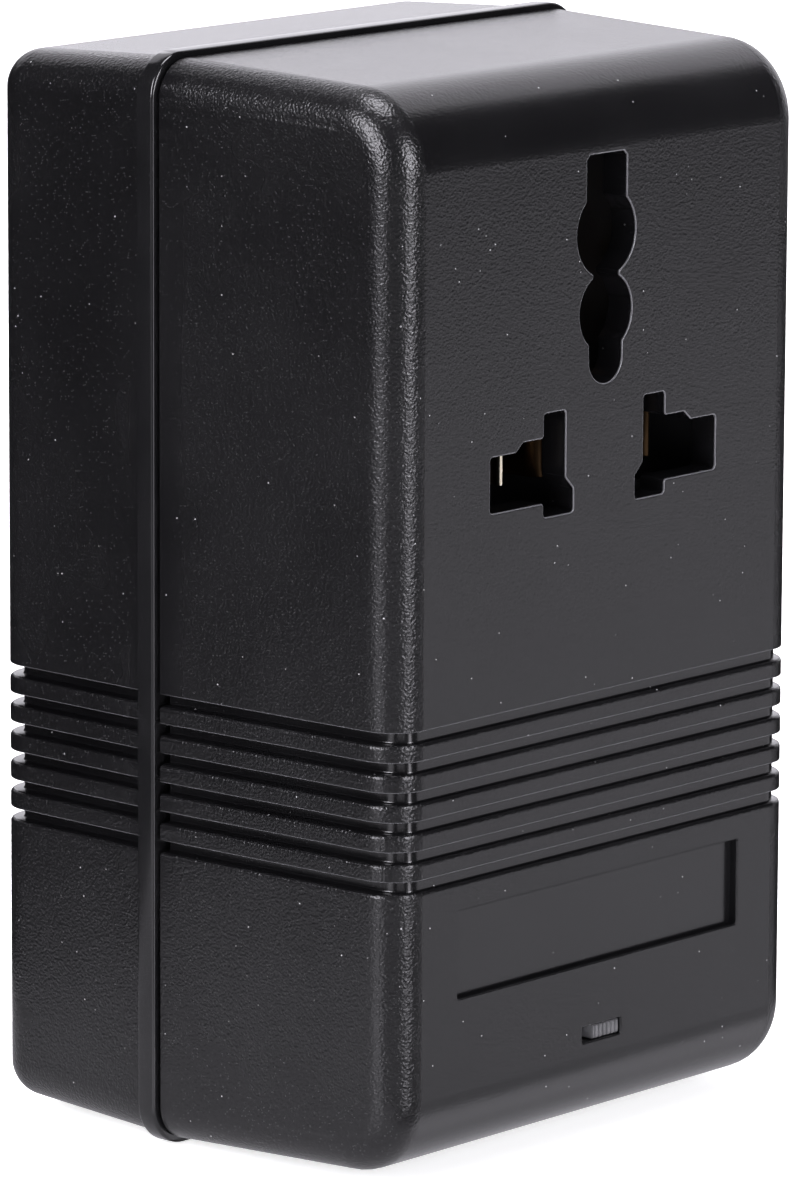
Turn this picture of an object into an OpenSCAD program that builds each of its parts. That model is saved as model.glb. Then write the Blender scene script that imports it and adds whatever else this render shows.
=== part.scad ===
// Travel voltage converter: a two-shell case with a universal socket, a recessed
// voltage selector, a mains inlet and a small laminated transformer inside.
// Millimetres. +X right and +Z up seen from the front, front face towards -Y,
// origin under the middle of the case, on the surface it stands on.

/* [Case] */
// Depth of the front shell, from its face to the parting line
front_depth = 26.2; // [24:0.1:32]
// Depth of the raised rim band on the rear shell
band_depth = 1.9; // [1:0.05:3]
// Depth of the rear shell behind the band
rear_depth = 17.65; // [17:0.05:26]
// Width of the front shell at its face
front_w = 52.2; // [51:0.1:60]
// Width of both shells at the parting line
part_w = 53.3; // [52:0.1:61]
// Width of the rear shell at its back face
rear_w = 52.3; // [50.5:0.1:60]
// Height of both shells at the parting line
case_h = 92; // [89:0.1:110]
// Height lost at each end by the front shell's draft
front_taper = 0.7; // [0:0.05:1]
// Height lost at each end by the rear shell's draft
rear_taper = 0.65; // [0:0.05:1.2]
// How far the rim band stands out all round
band_proud = 0.5; // [0.2:0.05:1]
// Radius of the case's edges and corners
corner_r = 3.3; // [3:0.1:4]
// Radius of the front face's top and bottom edges
roll_r = 6.7; // [5.5:0.1:7]
// Wall thickness
wall = 2.2; // [1.8:0.1:2.6]
// Thickness of the front panel
panel_t = 2.6; // [2.2:0.1:3.2]
// Dark gap between the front shell and the rim band
shadow_gap = 0.33; // [0.2:0.01:0.6]
// Length of the rear shell's tongue inside the front shell
tongue_len = 2.4; // [1.5:0.1:4]
// Thickness of that tongue
tongue_t = 0.8; // [0.6:0.1:1]

/* [Grip grooves] */
// Number of grooves round the case
groove_count = 6; // [1:1:7]
// Spacing of the grooves
groove_pitch = 2.5; // [2:0.01:3]
// Opening of one groove
groove_open = 1; // [0.8:0.01:1.5]
// Depth of one groove
groove_depth = 1.2; // [0.6:0.1:1.4]
// Top edge of the first groove, below the socket's centre line
groove_drop = 19.25; // [17:0.05:22]

/* [Label recess] */
// Width of the blank label recess
label_w = 36.5; // [20:0.5:38]
// Share of the height between the recess's top and the selector that it takes
label_share = 0.577; // [0.4:0.001:0.7]
// Depth of the recess
label_depth = 0.6; // [0.5:0.1:1.4]
// Top edge of the recess, below the socket's centre line
label_drop = 35.2; // [34:0.1:37]

/* [Universal socket] */
// Line and neutral holes' centre line, below the top of the case
socket_drop = 33.95; // [33.5:0.05:36]
// Inner edge of the flat blade slot, from the middle
blade_x0 = 5.05; // [4.8:0.05:5.4]
// Outer edge of the flat blade slot
blade_x1 = 7.8; // [7.4:0.05:8.2]
// Top of the flat blade slot
blade_top = 5.15; // [4:0.05:5.5]
// End of the raised step beside the blade slot
step_x1 = 10.4; // [9:0.1:10.8]
// Top of that step
step_top = 3.1; // [2.6:0.1:3.6]
// Start of the bar pin slot's level top edge
bar_x0 = 11.3; // [11:0.1:12]
// Outer end of the bar pin slot
bar_x1 = 14.55; // [14:0.05:15]
// Half the height of the bar pin slot
bar_half = 2.33; // [2.2:0.01:2.5]
// Inner end of the lower foot
foot_x0 = 4.0; // [3.9:0.05:4.4]
// Bottom of the lower foot
foot_drop = 3.54; // [3:0.02:3.8]
// Top of the lower foot's inner end
foot_top = -0.5; // [-1:0.1:0]
// Half the width of the earth hole's upper slot
earth_slot_half = 2.55; // [2.3:0.05:2.8]
// Top of the earth hole
earth_top = 26.1; // [25.5:0.1:26.3]
// Radius of the upper earth circle
earth_r1 = 3.75; // [3.4:0.01:3.9]
// Height of the upper earth circle
earth_z1 = 19.45; // [19:0.05:20]
// Radius of the lower earth circle
earth_r2 = 3.35; // [3:0.01:3.5]
// Height of the lower earth circle
earth_z2 = 12.8; // [12.5:0.05:13.4]
// Half the width of the neck between the circles
earth_neck = 1.65; // [1.2:0.05:2]
// Half the width of the earth hole's lower slot
earth_foot_half = 2.1; // [1.6:0.05:2.2]
// Bottom of the earth hole
earth_bottom = 6.82; // [6.6:0.02:7.4]

/* [Socket inside] */
// Depth of the contact carrier behind the panel
carrier_depth = 11; // [10:0.1:12]
// Thickness of the carrier's walls
carrier_wall = 1.3; // [1:0.1:1.6]
// Thickness of the contact strip
strip_t = 0.6; // [0.4:0.05:0.7]
// Room between a hole's edge and the pocket behind it
pocket_room = 0.9; // [0.7:0.05:1]
// Length of a contact's solder tail behind the carrier
tail_len = 3; // [2.4:0.1:4]
// Contact leaf's distance from the middle, inner leaf
leaf_x0 = 4.4; // [4.2:0.05:4.6]
// The same for the outer leaf, which shows in the hole
leaf_x1 = 8.8; // [8.2:0.05:9.2]

/* [Voltage selector] */
// Height of the selector above the base
selector_z = 9.8; // [8.8:0.1:10]
// Length of the selector's window
window_len = 5; // [4.5:0.1:6]
// Height of the window
window_h = 1.4; // [1.2:0.05:2]
// Middle of the window, from the middle of the case
window_x = 0.3; // [-1:0.1:1]
// Length of the knob
knob_len = 3.4; // [2.5:0.1:3.8]
// How far the knob lies below the face
knob_recess = 0.1; // [0.05:0.05:1]
// Number of ribs on the knob
knob_ribs = 6; // [3:1:8]

/* [Mains inlet] */
// Height of the inlet above the base
inlet_z = 68; // [62:0.5:72]
// Distance between the inlet's two pins
pin_spacing = 8.6; // [8.2:0.1:9]
// Radius of an inlet pin
pin_r = 1.2; // [1:0.05:1.4]
// Radius of the inlet cavity's round ends
cavity_r = 3.9; // [3.6:0.1:4.2]
// Depth of the inlet cavity
cavity_depth = 10; // [8:0.5:11]
// Height of the inlet's flat middle
cavity_waist = 6.4; // [5:0.1:7]

/* [Transformer] */
// Room on each side of the core's clip: the laminations' sizes follow from it
core_side = 2.4; // [2.2:0.1:4]
// Least room between the core's clip and the contact carrier
core_head = 1.8; // [1.6:0.1:4]
// Thickness of the lamination stack
stack = 17.8; // [14:0.2:18]
// Thickness of the bobbin's walls
bobbin_wall = 1; // [0.8:0.1:1.2]
// Input winding's share of the coil
input_share = 0.49; // [0.3:0.01:0.7]
// Thickness of the winding tape
tape_t = 0.4; // [0.2:0.1:0.6]
// Thickness of the core's steel clip
clip_t = 0.8; // [0.5:0.1:1]

/* [Fasteners and leads] */
// Distance of the case screws from the case's sides
screw_inset = 9.6; // [9.2:0.1:10.2]
// Radius of a case screw's shank
screw_r = 1.25; // [1:0.05:1.4]
// Radius of a case screw's head
screw_head_r = 2.4; // [2.1:0.1:2.5]
// Length of a case screw under its head
screw_len = 15; // [12:0.5:18]
// Radius of a small screw's shank
small_screw_r = 0.9; // [0.7:0.05:1]
// Radius of an insulated lead
lead_r = 0.8; // [0.6:0.05:0.9]

/* [Hidden] */
$fn = 48;

// Clearances
fit = 0.1;
play = 0.3;
thread_gap = 0.05;
cut = 0.5;
thin = 0.01;
disc_t = 0.2;
hull_fn = 32;

// Planes along the depth
depth = front_depth + band_depth + rear_depth;
y_front = -depth / 2;
y_part = y_front + front_depth;
y_band = y_part + band_depth;
y_rear = depth / 2;
y_panel = y_front + panel_t;
y_floor = y_rear - wall;

// Planes along the height
case_z0 = band_proud;
case_z1 = case_z0 + case_h;
inner_z0 = case_z0 + rear_taper + wall;
inner_z1 = case_z1 - rear_taper - wall;
inner_half = min(front_w, part_w, rear_w) / 2 - wall;
inner_r = max(corner_r - wall, tongue_t + play);
inner_roll = 1.8;
roll_step = 22.5;
socket_z = case_z1 - socket_drop;
label_top = socket_z - label_drop;
label_h = label_share * (label_top - selector_z - window_h / 2);

// Case screws
screw_x = part_w / 2 - screw_inset;
screw_z = [case_z0 + screw_inset, case_z1 - screw_inset];
counterbore_r = screw_head_r + play;
boss_wall = 0.9;
boss_r = counterbore_r + boss_wall;
screw_room = 1;
screw_head_h = 1.8;
seat_t = 5;
y_seat = y_part + seat_t;
slot_reach = 1.3;
slot_width = 0.5;
small_head_r = 2 * small_screw_r;
small_head_h = 1.4;
small_screw_bite = 2.6;

// Socket
foot_slant = blade_x0 - foot_x0;
carrier_y1 = y_panel + carrier_depth;
pocket_y1 = carrier_y1 - carrier_wall;
pocket_x0 = foot_x0 - pocket_room;
pocket_x1 = bar_x1 + pocket_room;
pocket_z0 = -foot_drop - pocket_room;
pocket_z1 = blade_top + pocket_room / 2;
earth_half = earth_r1 + pocket_room;
earth_pocket_z0 = pocket_z1 + carrier_wall / 2;
earth_pocket_z1 = earth_top + pocket_room;
ear_half = 3;
carrier_ear_x = pocket_x1 + carrier_wall - ear_half;
ear_z = pocket_z1 + carrier_wall + ear_half;
ear_drop = 3.2;
ear_y0 = y_panel + ear_drop;
ear_t = 2.4;
leaf_set_back = 0.6;
leaf_y0 = y_panel + leaf_set_back;
leaf_z0 = -1;
leaf_z1 = 4.4;
earth_leaf_z0 = earth_z2 - earth_r2;
earth_leaf_z1 = earth_z1 + earth_r1;
tail_half = 1.2;
tail_x = (leaf_x0 + leaf_x1 + strip_t) / 2;
tail_y = carrier_y1 + tail_len / 2;

// Selector, in order from the panel backwards
plate_t = 0.5;
travel = window_len - knob_len - fit;
slider_t = 1.8;
slider_over = 5;
slider_len = knob_len + slider_over;
slider_h = 4.4;
knob_x1 = window_x + window_len / 2 - fit / 2;
slider_x = knob_x1 - knob_len / 2;
frame_x = slider_x - travel / 2;
slider_y0 = y_panel + plate_t + play;
bridge_y0 = slider_y0 + slider_t;
bridge_t = 0.4;
base_y0 = bridge_y0 + bridge_t + play;
base_t = 1.5;
frame_inner = slider_len + travel + 2 * play;
frame_inner_h = slider_h + 2 * play;
ear_len = 5;
post_len = 3;
selector_post_y = y_panel + post_len;
ear_hole_x = frame_inner / 2 + plate_t + ear_len / 2;
terminal_pitch = 3.6;
terminal_z = 1.5;
terminal_half = 0.6;
terminal_len = 4;

// Inlet
inlet_wall = 1;
inlet_half = pin_spacing / 2 + cavity_r + inlet_wall;
inlet_half_h = cavity_r + inlet_wall;
flange_t = 1;
flange_lip = 1.5;
inlet_floor_t = 2.4;
inlet_y0 = y_rear - cavity_depth - inlet_floor_t;
pin_tail = 2.2;
pin_tip = 1.2;

// Transformer
core_room = 1;
core_z0 = screw_z[0] + boss_r + core_room;
core_top = socket_z + pocket_z0 - carrier_wall - core_head - clip_t;
lam_leg = min((inner_half - core_side - clip_t) / 3, (core_top - core_z0) / 5);
core_w = 6 * lam_leg;
window_high = 3 * lam_leg;
coil_gap = 0.4;
core_y1 = y_floor - coil_gap - lam_leg;
core_y0 = core_y1 - stack;
core_y = (core_y0 + core_y1) / 2;
yoke_z1 = core_z0 + lam_leg;
core_z1 = yoke_z1 + window_high;
core_z2 = core_z1 + lam_leg;
bobbin_z0 = yoke_z1 + fit;
bobbin_z1 = core_z1 - fit;
bobbin_half = lam_leg + fit + bobbin_wall;
flange_half = 2 * lam_leg - fit;
coil_build = flange_half - bobbin_half - tape_t - play;
input_build = input_share * coil_build;
bobbin_pin_r = 0.5;
bobbin_pin_len = 4.5;
bobbin_top = bobbin_z1 - bobbin_wall + bobbin_pin_len;
bobbin_low = bobbin_z0 + bobbin_wall - bobbin_pin_len;
front_pin_y = core_y0 - lam_leg / 3;
rear_pin_y = core_y1 + lam_leg / 2;
clip_inset = 1;
rib_x0 = 2.2 * lam_leg;
rib_x1 = 2.9 * lam_leg;
fuse_r = 1.1;
fuse_len = 9;

// Leads
bend_swell = 1.03;
lead_run = 2.5;
lead_room = 1;

// A plate of the outline below, from y0 to y1
module along_y(y0, y1)
    translate([0, y1, 0])
        rotate([90, 0, 0])
            linear_extrude(y1 - y0)
                children();

// A round bar along Y
module bar_y(x, z, r, y0, y1)
    translate([x, y1, z])
        rotate([90, 0, 0])
            cylinder(r = r, h = y1 - y0);

// A block from its two corners
module block(low, high)
    translate(low)
        cube(high - low);

// Rectangle from z0 to z1 with round corners
module round_rect(half, z0, z1, r) {
    translate([-half, z0 + r])
        square([2 * half, z1 - z0 - 2 * r]);
    translate([r - half, z0])
        square([2 * (half - r), z1 - z0]);
    for (x = [r - half, half - r], z = [z0 + r, z1 - r])
        translate([x, z])
            circle(r);
}

// Both halves of a mirrored pair
module pair()
    for (side = [0, 1])
        mirror([side, 0, 0])
            children();

// Tapered case form with round edges: balls along the roll of each outer edge, four discs at the joint
module case_form(face_half, face_y, taper, joint_y, roll) {
    towards = sign(joint_y - face_y);
    bow = roll - corner_r;
    last_turn = bow > 0 ? 90 : 0;
    hull()
        for (side = [-1, 1], end = [[case_z0, 1], [case_z1, -1]]) {
            for (turn = [0:roll_step:last_turn])
                translate([side * (face_half - corner_r), face_y + towards * (roll - bow * cos(turn)),
                           end[0] + end[1] * (taper + roll - bow * sin(turn))])
                    sphere(corner_r, $fn = hull_fn);
            translate([side * (part_w / 2 - corner_r), joint_y, end[0] + end[1] * corner_r])
                rotate([towards * 90, 0, 0])
                    cylinder(r = corner_r, h = disc_t, $fn = hull_fn);
        }
}

// Upright core inside a shell: the case's plan drawn in by an inset
module plan_core(face_half, face_y, joint_y, inset) {
    half = face_half - inset;
    joint_half = part_w / 2 - inset;
    r = corner_r - inset;
    towards = sign(joint_y - face_y);
    bend_y = face_y + towards * corner_r;
    linear_extrude(case_z1) {
        polygon([[-half, bend_y], [half, bend_y], [joint_half, joint_y], [-joint_half, joint_y]]);
        translate([0, (bend_y + face_y + towards * inset) / 2])
            square([2 * (half - r), r], center = true);
        for (x = [-half + r, half - r])
            translate([x, bend_y])
                circle(r);
    }
}

// Slabs that cut the grip grooves
module groove_slabs()
    for (i = [0:groove_count - 1])
        translate([-part_w, -depth, socket_z - groove_drop - groove_open - i * groove_pitch])
            cube([2 * part_w, 2 * depth, groove_open]);

// Outline of the right-hand live hole
module live_hole()
    polygon([
        [blade_x0, blade_top], [blade_x1, blade_top], [blade_x1, step_top], [step_x1, step_top],
        [bar_x0, bar_half], [bar_x1, bar_half], [bar_x1, -bar_half], [blade_x1, -bar_half],
        [blade_x1, -foot_drop], [foot_x0, -foot_drop], [foot_x0, foot_top - foot_slant], [blade_x0, foot_top]
    ]);

// Outline of the earth hole: a slot, two circles, a neck and a round-ended foot
module earth_hole() {
    translate([-earth_slot_half, earth_z1])
        square([2 * earth_slot_half, earth_top - earth_z1]);
    translate([0, earth_z1])
        circle(earth_r1);
    translate([-earth_neck, earth_z2])
        square([2 * earth_neck, earth_z1 - earth_z2]);
    translate([0, earth_z2])
        circle(earth_r2);
    translate([-earth_foot_half, earth_bottom + earth_foot_half])
        square([2 * earth_foot_half, earth_z2 - earth_bottom - earth_foot_half]);
    translate([0, earth_bottom + earth_foot_half])
        circle(earth_foot_half);
}

// Inside of a shell: straight walls, with its upright corners as round as the case's
module case_space(y0, y1, face_half, face_y, joint_y)
    intersection() {
        along_y(y0, y1)
            round_rect(inner_half, inner_z0, inner_z1, inner_r);
        plan_core(face_half, face_y, joint_y, wall);
    }

// Inside of the front shell: its edges at the panel are rolled too
module front_hollow()
    intersection() {
        case_space(y_panel, y_part + cut, front_w / 2, y_front, y_part + cut);
        translate([-part_w, 0, 0])
            rotate([90, 0, 90])
                linear_extrude(2 * part_w) {
                    translate([y_panel, inner_z0 + inner_roll])
                        square([depth, inner_z1 - inner_z0 - 2 * inner_roll]);
                    translate([y_panel + inner_roll, inner_z0])
                        square([depth, inner_z1 - inner_z0]);
                    for (z = [inner_z0 + inner_roll, inner_z1 - inner_roll])
                        translate([y_panel + inner_roll, z])
                            circle(inner_roll);
                }
    }

// The space that the front shell's posts may fill
module front_space()
    along_y(y_panel - cut, y_part)
        round_rect(inner_half + cut, inner_z0 - cut, inner_z1 + cut, inner_r + cut);

// Front shell with its panel, screw posts and the ribs that press on the core
module front_posts() {
    for (x = [-screw_x, screw_x], z = screw_z)
        bar_y(x, z, boss_r, y_panel - cut, y_part);
    for (x = [-carrier_ear_x, carrier_ear_x])
        bar_y(x, socket_z + ear_z, ear_half - fit, y_panel - cut, ear_y0);
    for (x = [-ear_hole_x, ear_hole_x])
        bar_y(frame_x + x, selector_z, ear_len / 2 - fit, y_panel - cut, selector_post_y);
    pair()
        block([rib_x0, y_panel - cut, yoke_z1], [rib_x1, core_y0 - fit, yoke_z1 + lam_leg]);
}

module front_shell() color("#232326") {
    difference() {
        union() {
            difference() {
                case_form(front_w / 2, y_front, front_taper, y_part - shadow_gap, roll_r);
                front_hollow();
                difference() {
                    groove_slabs();
                    plan_core(front_w / 2, y_front, y_part + cut, groove_depth);
                }
            }
            intersection() {
                front_posts();
                front_space();
            }
        }
        for (x = [-screw_x, screw_x], z = screw_z)
            bar_y(x, z, screw_r + thread_gap, y_seat - screw_len - screw_room, y_part + cut);
        for (x = [-carrier_ear_x, carrier_ear_x])
            bar_y(x, socket_z + ear_z, small_screw_r + thread_gap, y_panel + thin, ear_y0 + cut);
        for (x = [-ear_hole_x, ear_hole_x])
            bar_y(frame_x + x, selector_z, small_screw_r + thread_gap, y_panel + thin, selector_post_y + cut);
        translate([0, 0, socket_z])
            along_y(y_front - cut, y_panel + cut) {
                pair() live_hole();
                earth_hole();
            }
        block([-label_w / 2, y_front - cut, label_top - label_h],
              [label_w / 2, y_front + label_depth, label_top]);
        block([window_x - window_len / 2, y_front - cut, selector_z - window_h / 2],
              [window_x + window_len / 2, y_panel + cut, selector_z + window_h / 2]);
    }
}

// Rear shell: rim band, tongue, screw posts and the cradle that carries the core
module rear_cradle() {
    for (x = [-screw_x, screw_x], z = screw_z)
        bar_y(x, z, boss_r, y_part, y_floor + cut);
    pair() {
        block([rib_x0, core_y1 + fit, yoke_z1], [rib_x1, y_floor + cut, core_z1]);
        block([lam_leg, core_y, inner_z0 - cut], [lam_leg + wall, y_floor + cut, core_z0 - fit]);
    }
}

module rear_space()
    along_y(y_part, y_floor + cut)
        round_rect(inner_half + cut, inner_z0 - cut, inner_z1 + cut, inner_r + cut);

module tongue_outline(inset)
    round_rect(inner_half - inset, inner_z0 + inset, inner_z1 - inset, inner_r - inset);

module tongue()
    difference() {
        union() {
            along_y(y_part - tongue_len, y_part + cut)
                difference() {
                    tongue_outline(fit);
                    tongue_outline(fit + tongue_t);
                }
            along_y(y_part, y_band)
                difference() {
                    tongue_outline(-cut);
                    tongue_outline(fit + tongue_t);
                }
        }
        for (x = [-screw_x, screw_x], z = screw_z)
            bar_y(x, z, boss_r + fit, y_part - tongue_len - cut, y_part);
    }

module inlet_block(grow, y0, y1)
    block([-inlet_half - grow, y0, inlet_z - inlet_half_h - grow],
          [inlet_half + grow, y1, inlet_z + inlet_half_h + grow]);

module rear_shell() color("#1d1d20") {
    difference() {
        union() {
            difference() {
                union() {
                    case_form(rear_w / 2, y_rear, rear_taper, y_band, corner_r);
                    along_y(y_part, y_band)
                        round_rect(part_w / 2 + band_proud, 0, case_z1 + band_proud, corner_r + band_proud);
                }
                case_space(y_part - cut, y_floor, rear_w / 2, y_rear, y_part - cut);
                difference() {
                    groove_slabs();
                    plan_core(rear_w / 2, y_rear, y_band, groove_depth);
                    block([-2 * part_w, -2 * depth, 0], [2 * part_w, y_band, case_z1]);
                }
            }
            tongue();
            intersection() {
                rear_cradle();
                rear_space();
            }
        }
        for (x = [-screw_x, screw_x], z = screw_z) {
            bar_y(x, z, screw_r + play, y_part - cut, y_seat + cut);
            bar_y(x, z, counterbore_r, y_seat, y_rear + cut);
        }
        inlet_block(fit, y_floor - cut, y_rear + cut);
        inlet_block(flange_lip + fit, y_rear - flange_t, y_rear + cut);
    }
}

// Pan-head screw along Y, its head's seat at y, its tip towards -Y
module screw(x, z, y, r, len, head_r, head_h) {
    bar_y(x, z, r, y - len, y);
    difference() {
        bar_y(x, z, head_r, y, y + head_h);
        for (turn = [0, 90])
            translate([x, y + head_h, z])
                rotate([0, turn, 0])
                    cube([head_r * slot_reach, head_h, r * slot_width], center = true);
    }
}

module case_screws() color("#8d9096")
    for (x = [-screw_x, screw_x], z = screw_z)
        screw(x, z, y_seat, screw_r, screw_len, screw_head_r, screw_head_h);

// Contact carrier: a moulded block with three pockets behind the holes
module contact_carrier() color("#1f1f22")
    translate([0, 0, socket_z])
        difference() {
            union() {
                block([-pocket_x1 - carrier_wall, y_panel, pocket_z0 - carrier_wall],
                      [pocket_x1 + carrier_wall, carrier_y1, pocket_z1 + carrier_wall]);
                block([-earth_half - carrier_wall, y_panel, pocket_z1],
                      [earth_half + carrier_wall, carrier_y1, earth_pocket_z1 + carrier_wall]);
                for (x = [-carrier_ear_x, carrier_ear_x])
                    block([x - ear_half, ear_y0, pocket_z1],
                          [x + ear_half, ear_y0 + ear_t, ear_z + ear_half]);
            }
            pair() {
                block([pocket_x0, y_panel - cut, pocket_z0], [pocket_x1, pocket_y1, pocket_z1]);
                block([tail_x - tail_half - fit, pocket_y1 - cut, -tail_half - fit],
                      [tail_x + tail_half + fit, carrier_y1 + cut, tail_half + fit]);
                bar_y(carrier_ear_x, ear_z, small_screw_r + play, ear_y0 - cut, ear_y0 + ear_t + cut);
            }
            block([-earth_half, y_panel - cut, earth_pocket_z0 + carrier_wall / 2],
                  [earth_half, pocket_y1, earth_pocket_z1]);
            block([-tail_half - fit, pocket_y1 - cut, earth_z1 - tail_half - fit],
                  [tail_half + fit, carrier_y1 + cut, earth_z1 + tail_half + fit]);
        }

module carrier_screws() color("#8d9096")
    for (x = [-carrier_ear_x, carrier_ear_x])
        screw(x, socket_z + ear_z, ear_y0 + ear_t, small_screw_r, ear_t + small_screw_bite,
              small_head_r, small_head_h);

// Two leaves, a back and a solder tail, bent from one strip
module strip_contact(x0, x1, z0, z1, tail_at, tail_level)
    translate([0, 0, socket_z]) {
        block([x0, leaf_y0, z0], [x0 + strip_t, pocket_y1, z1]);
        block([x1, leaf_y0, z0], [x1 + strip_t, pocket_y1, z1]);
        block([x0, pocket_y1 - strip_t, z0], [x1 + strip_t, pocket_y1, z1]);
        block([tail_at - tail_half, pocket_y1 - strip_t, tail_level - tail_half],
              [tail_at + tail_half, carrier_y1 + tail_len, tail_level + tail_half]);
    }

module neutral_contact() color("#c9a24e")
    strip_contact(leaf_x0, leaf_x1, leaf_z0, leaf_z1, tail_x, 0);

module line_contact() color("#c9a24e")
    mirror([1, 0, 0])
        strip_contact(leaf_x0, leaf_x1, leaf_z0, leaf_z1, tail_x, 0);

module earth_contact() color("#c9a24e")
    strip_contact(-earth_half + fit, earth_half - fit - strip_t, earth_leaf_z0, earth_leaf_z1, 0, earth_z1);

// Selector switch: pressed steel frame with ears and a slot for the knob
module selector_frame() color("#9a9da3")
    translate([frame_x, 0, selector_z])
        difference() {
            union() {
                block([-frame_inner / 2 - plate_t, y_panel, -frame_inner_h / 2 - plate_t],
                      [frame_inner / 2 + plate_t, base_y0 + base_t, frame_inner_h / 2 + plate_t]);
                block([-ear_hole_x - ear_len / 2, selector_post_y, -frame_inner_h / 2],
                      [ear_hole_x + ear_len / 2, selector_post_y + plate_t, frame_inner_h / 2]);
            }
            block([-frame_inner / 2, y_panel + plate_t, -frame_inner_h / 2],
                  [frame_inner / 2, base_y0 + base_t + cut, frame_inner_h / 2]);
            block([-window_len / 2 - play, y_panel - cut, -window_h / 2 - play],
                  [window_len / 2 + play, y_panel + plate_t + cut, window_h / 2 + play]);
            for (x = [-ear_hole_x, ear_hole_x])
                bar_y(x, 0, small_screw_r + play, selector_post_y - cut, selector_post_y + plate_t + cut);
        }

module selector_screws() color("#8d9096")
    for (x = [-ear_hole_x, ear_hole_x])
        screw(frame_x + x, selector_z, selector_post_y + plate_t, small_screw_r, plate_t + small_screw_bite,
              small_head_r, small_head_h);

module terminal_bars(grow)
    for (i = [-1:1], side = [-1, 1])
        translate([frame_x + i * terminal_pitch, 0, selector_z + side * terminal_z])
            block([-terminal_half - grow, base_y0 - grow, -plate_t / 2 - grow],
                  [terminal_half + grow, base_y0 + base_t + terminal_len, plate_t / 2 + grow]);

module selector_base() color("#6b4a2b")
    difference() {
        translate([frame_x, 0, selector_z])
            block([-frame_inner / 2 + fit, base_y0, -frame_inner_h / 2 + fit],
                  [frame_inner / 2 - fit, base_y0 + base_t, frame_inner_h / 2 - fit]);
        terminal_bars(thread_gap);
    }

module selector_terminals() color("#c9a24e")
    terminal_bars(0);

// Moving slider with the ribbed knob that shows in the window
module selector_knob() color("#b9bcc0") {
    rib_pitch = knob_len / (2 * knob_ribs + 1);
    translate([slider_x, 0, selector_z]) {
        block([-slider_len / 2, slider_y0, -slider_h / 2], [slider_len / 2, bridge_y0, slider_h / 2]);
        difference() {
            block([-knob_len / 2, y_front + knob_recess, -window_h / 2 + fit],
                  [knob_len / 2, slider_y0 + thin, window_h / 2 - fit]);
            for (i = [0:knob_ribs - 1])
                translate([-knob_len / 2 + (2 * i + 1) * rib_pitch, y_front, -window_h])
                    cube([rib_pitch, knob_recess + rib_pitch, 2 * window_h]);
        }
    }
}

module selector_bridges() color("#c9a24e")
    for (side = [-1, 1])
        translate([slider_x, 0, selector_z + side * terminal_z])
            block([-terminal_pitch / 2 - terminal_half, bridge_y0, -plate_t],
                  [terminal_pitch / 2 + terminal_half, bridge_y0 + bridge_t, plate_t]);

// Two-pin mains inlet, pushed in from outside and held by its flange and barbs
module inlet_housing() color("#151517")
    difference() {
        union() {
            inlet_block(0, inlet_y0, y_rear - flange_t);
            inlet_block(flange_lip, y_rear - flange_t, y_rear - fit);
            block([-inlet_half / 2, y_floor - 2 * flange_t, inlet_z - inlet_half_h - 2 * play],
                  [inlet_half / 2, y_floor - fit, inlet_z + inlet_half_h + 2 * play]);
        }
        for (x = [-pin_spacing / 2, pin_spacing / 2]) {
            bar_y(x, inlet_z, cavity_r, y_rear - cavity_depth, y_rear + cut);
            bar_y(x, inlet_z, pin_r + thread_gap, inlet_y0 - cut, y_rear);
        }
        block([-pin_spacing / 2, y_rear - cavity_depth, inlet_z - cavity_waist / 2],
              [pin_spacing / 2, y_rear + cut, inlet_z + cavity_waist / 2]);
    }

module inlet_pins() color("#c5c8cc")
    for (x = [-pin_spacing / 2, pin_spacing / 2]) {
        bar_y(x, inlet_z, pin_r, inlet_y0 - pin_tail, y_rear - pin_tip - pin_r);
        translate([x, y_rear - pin_tip - pin_r, inlet_z])
            rotate([-90, 0, 0])
                cylinder(r1 = pin_r, r2 = pin_r / 2, h = pin_r);
    }

// Core laminations: an E stack that stands on the cradle and an I stack across its top
module core_e_stack() color("#5d6168")
    difference() {
        block([-core_w / 2, core_y0, core_z0], [core_w / 2, core_y1, core_z1]);
        pair()
            block([lam_leg, core_y0 - cut, yoke_z1], [2 * lam_leg, core_y1 + cut, core_z1 + cut]);
    }

module core_i_stack() color("#5d6168")
    block([-core_w / 2, core_y0, core_z1], [core_w / 2, core_y1, core_z2]);

module core_clip() color("#8b8f95")
    difference() {
        block([-core_w / 2 - clip_t, core_y0 + clip_inset, core_z0 + lam_leg],
              [core_w / 2 + clip_t, core_y1 - clip_inset, core_z2 + clip_t]);
        block([-core_w / 2, core_y0, core_z0], [core_w / 2, core_y1, core_z2]);
    }

// A ring round the core's tongue between two half widths, as thick along Y as along X
module coil_ring(inner, outer, z0, z1)
    difference() {
        block([-outer, core_y - stack / 2 - outer + lam_leg, z0],
              [outer, core_y + stack / 2 + outer - lam_leg, z1]);
        block([-inner, core_y - stack / 2 - inner + lam_leg, z0 - cut],
              [inner, core_y + stack / 2 + inner - lam_leg, z1 + cut]);
    }

module bobbin_pin_bars(grow)
    for (side = [-1, 1]) {
        translate([side * tail_x, front_pin_y, bobbin_z1 - bobbin_wall])
            cylinder(r = bobbin_pin_r + grow, h = bobbin_pin_len);
        translate([side * pin_spacing / 2, rear_pin_y, bobbin_z1 - bobbin_wall])
            cylinder(r = bobbin_pin_r + grow, h = bobbin_pin_len);
        translate([frame_x + side * terminal_pitch, front_pin_y, bobbin_z0 + bobbin_wall - bobbin_pin_len])
            cylinder(r = bobbin_pin_r + grow, h = bobbin_pin_len);
    }

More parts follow.
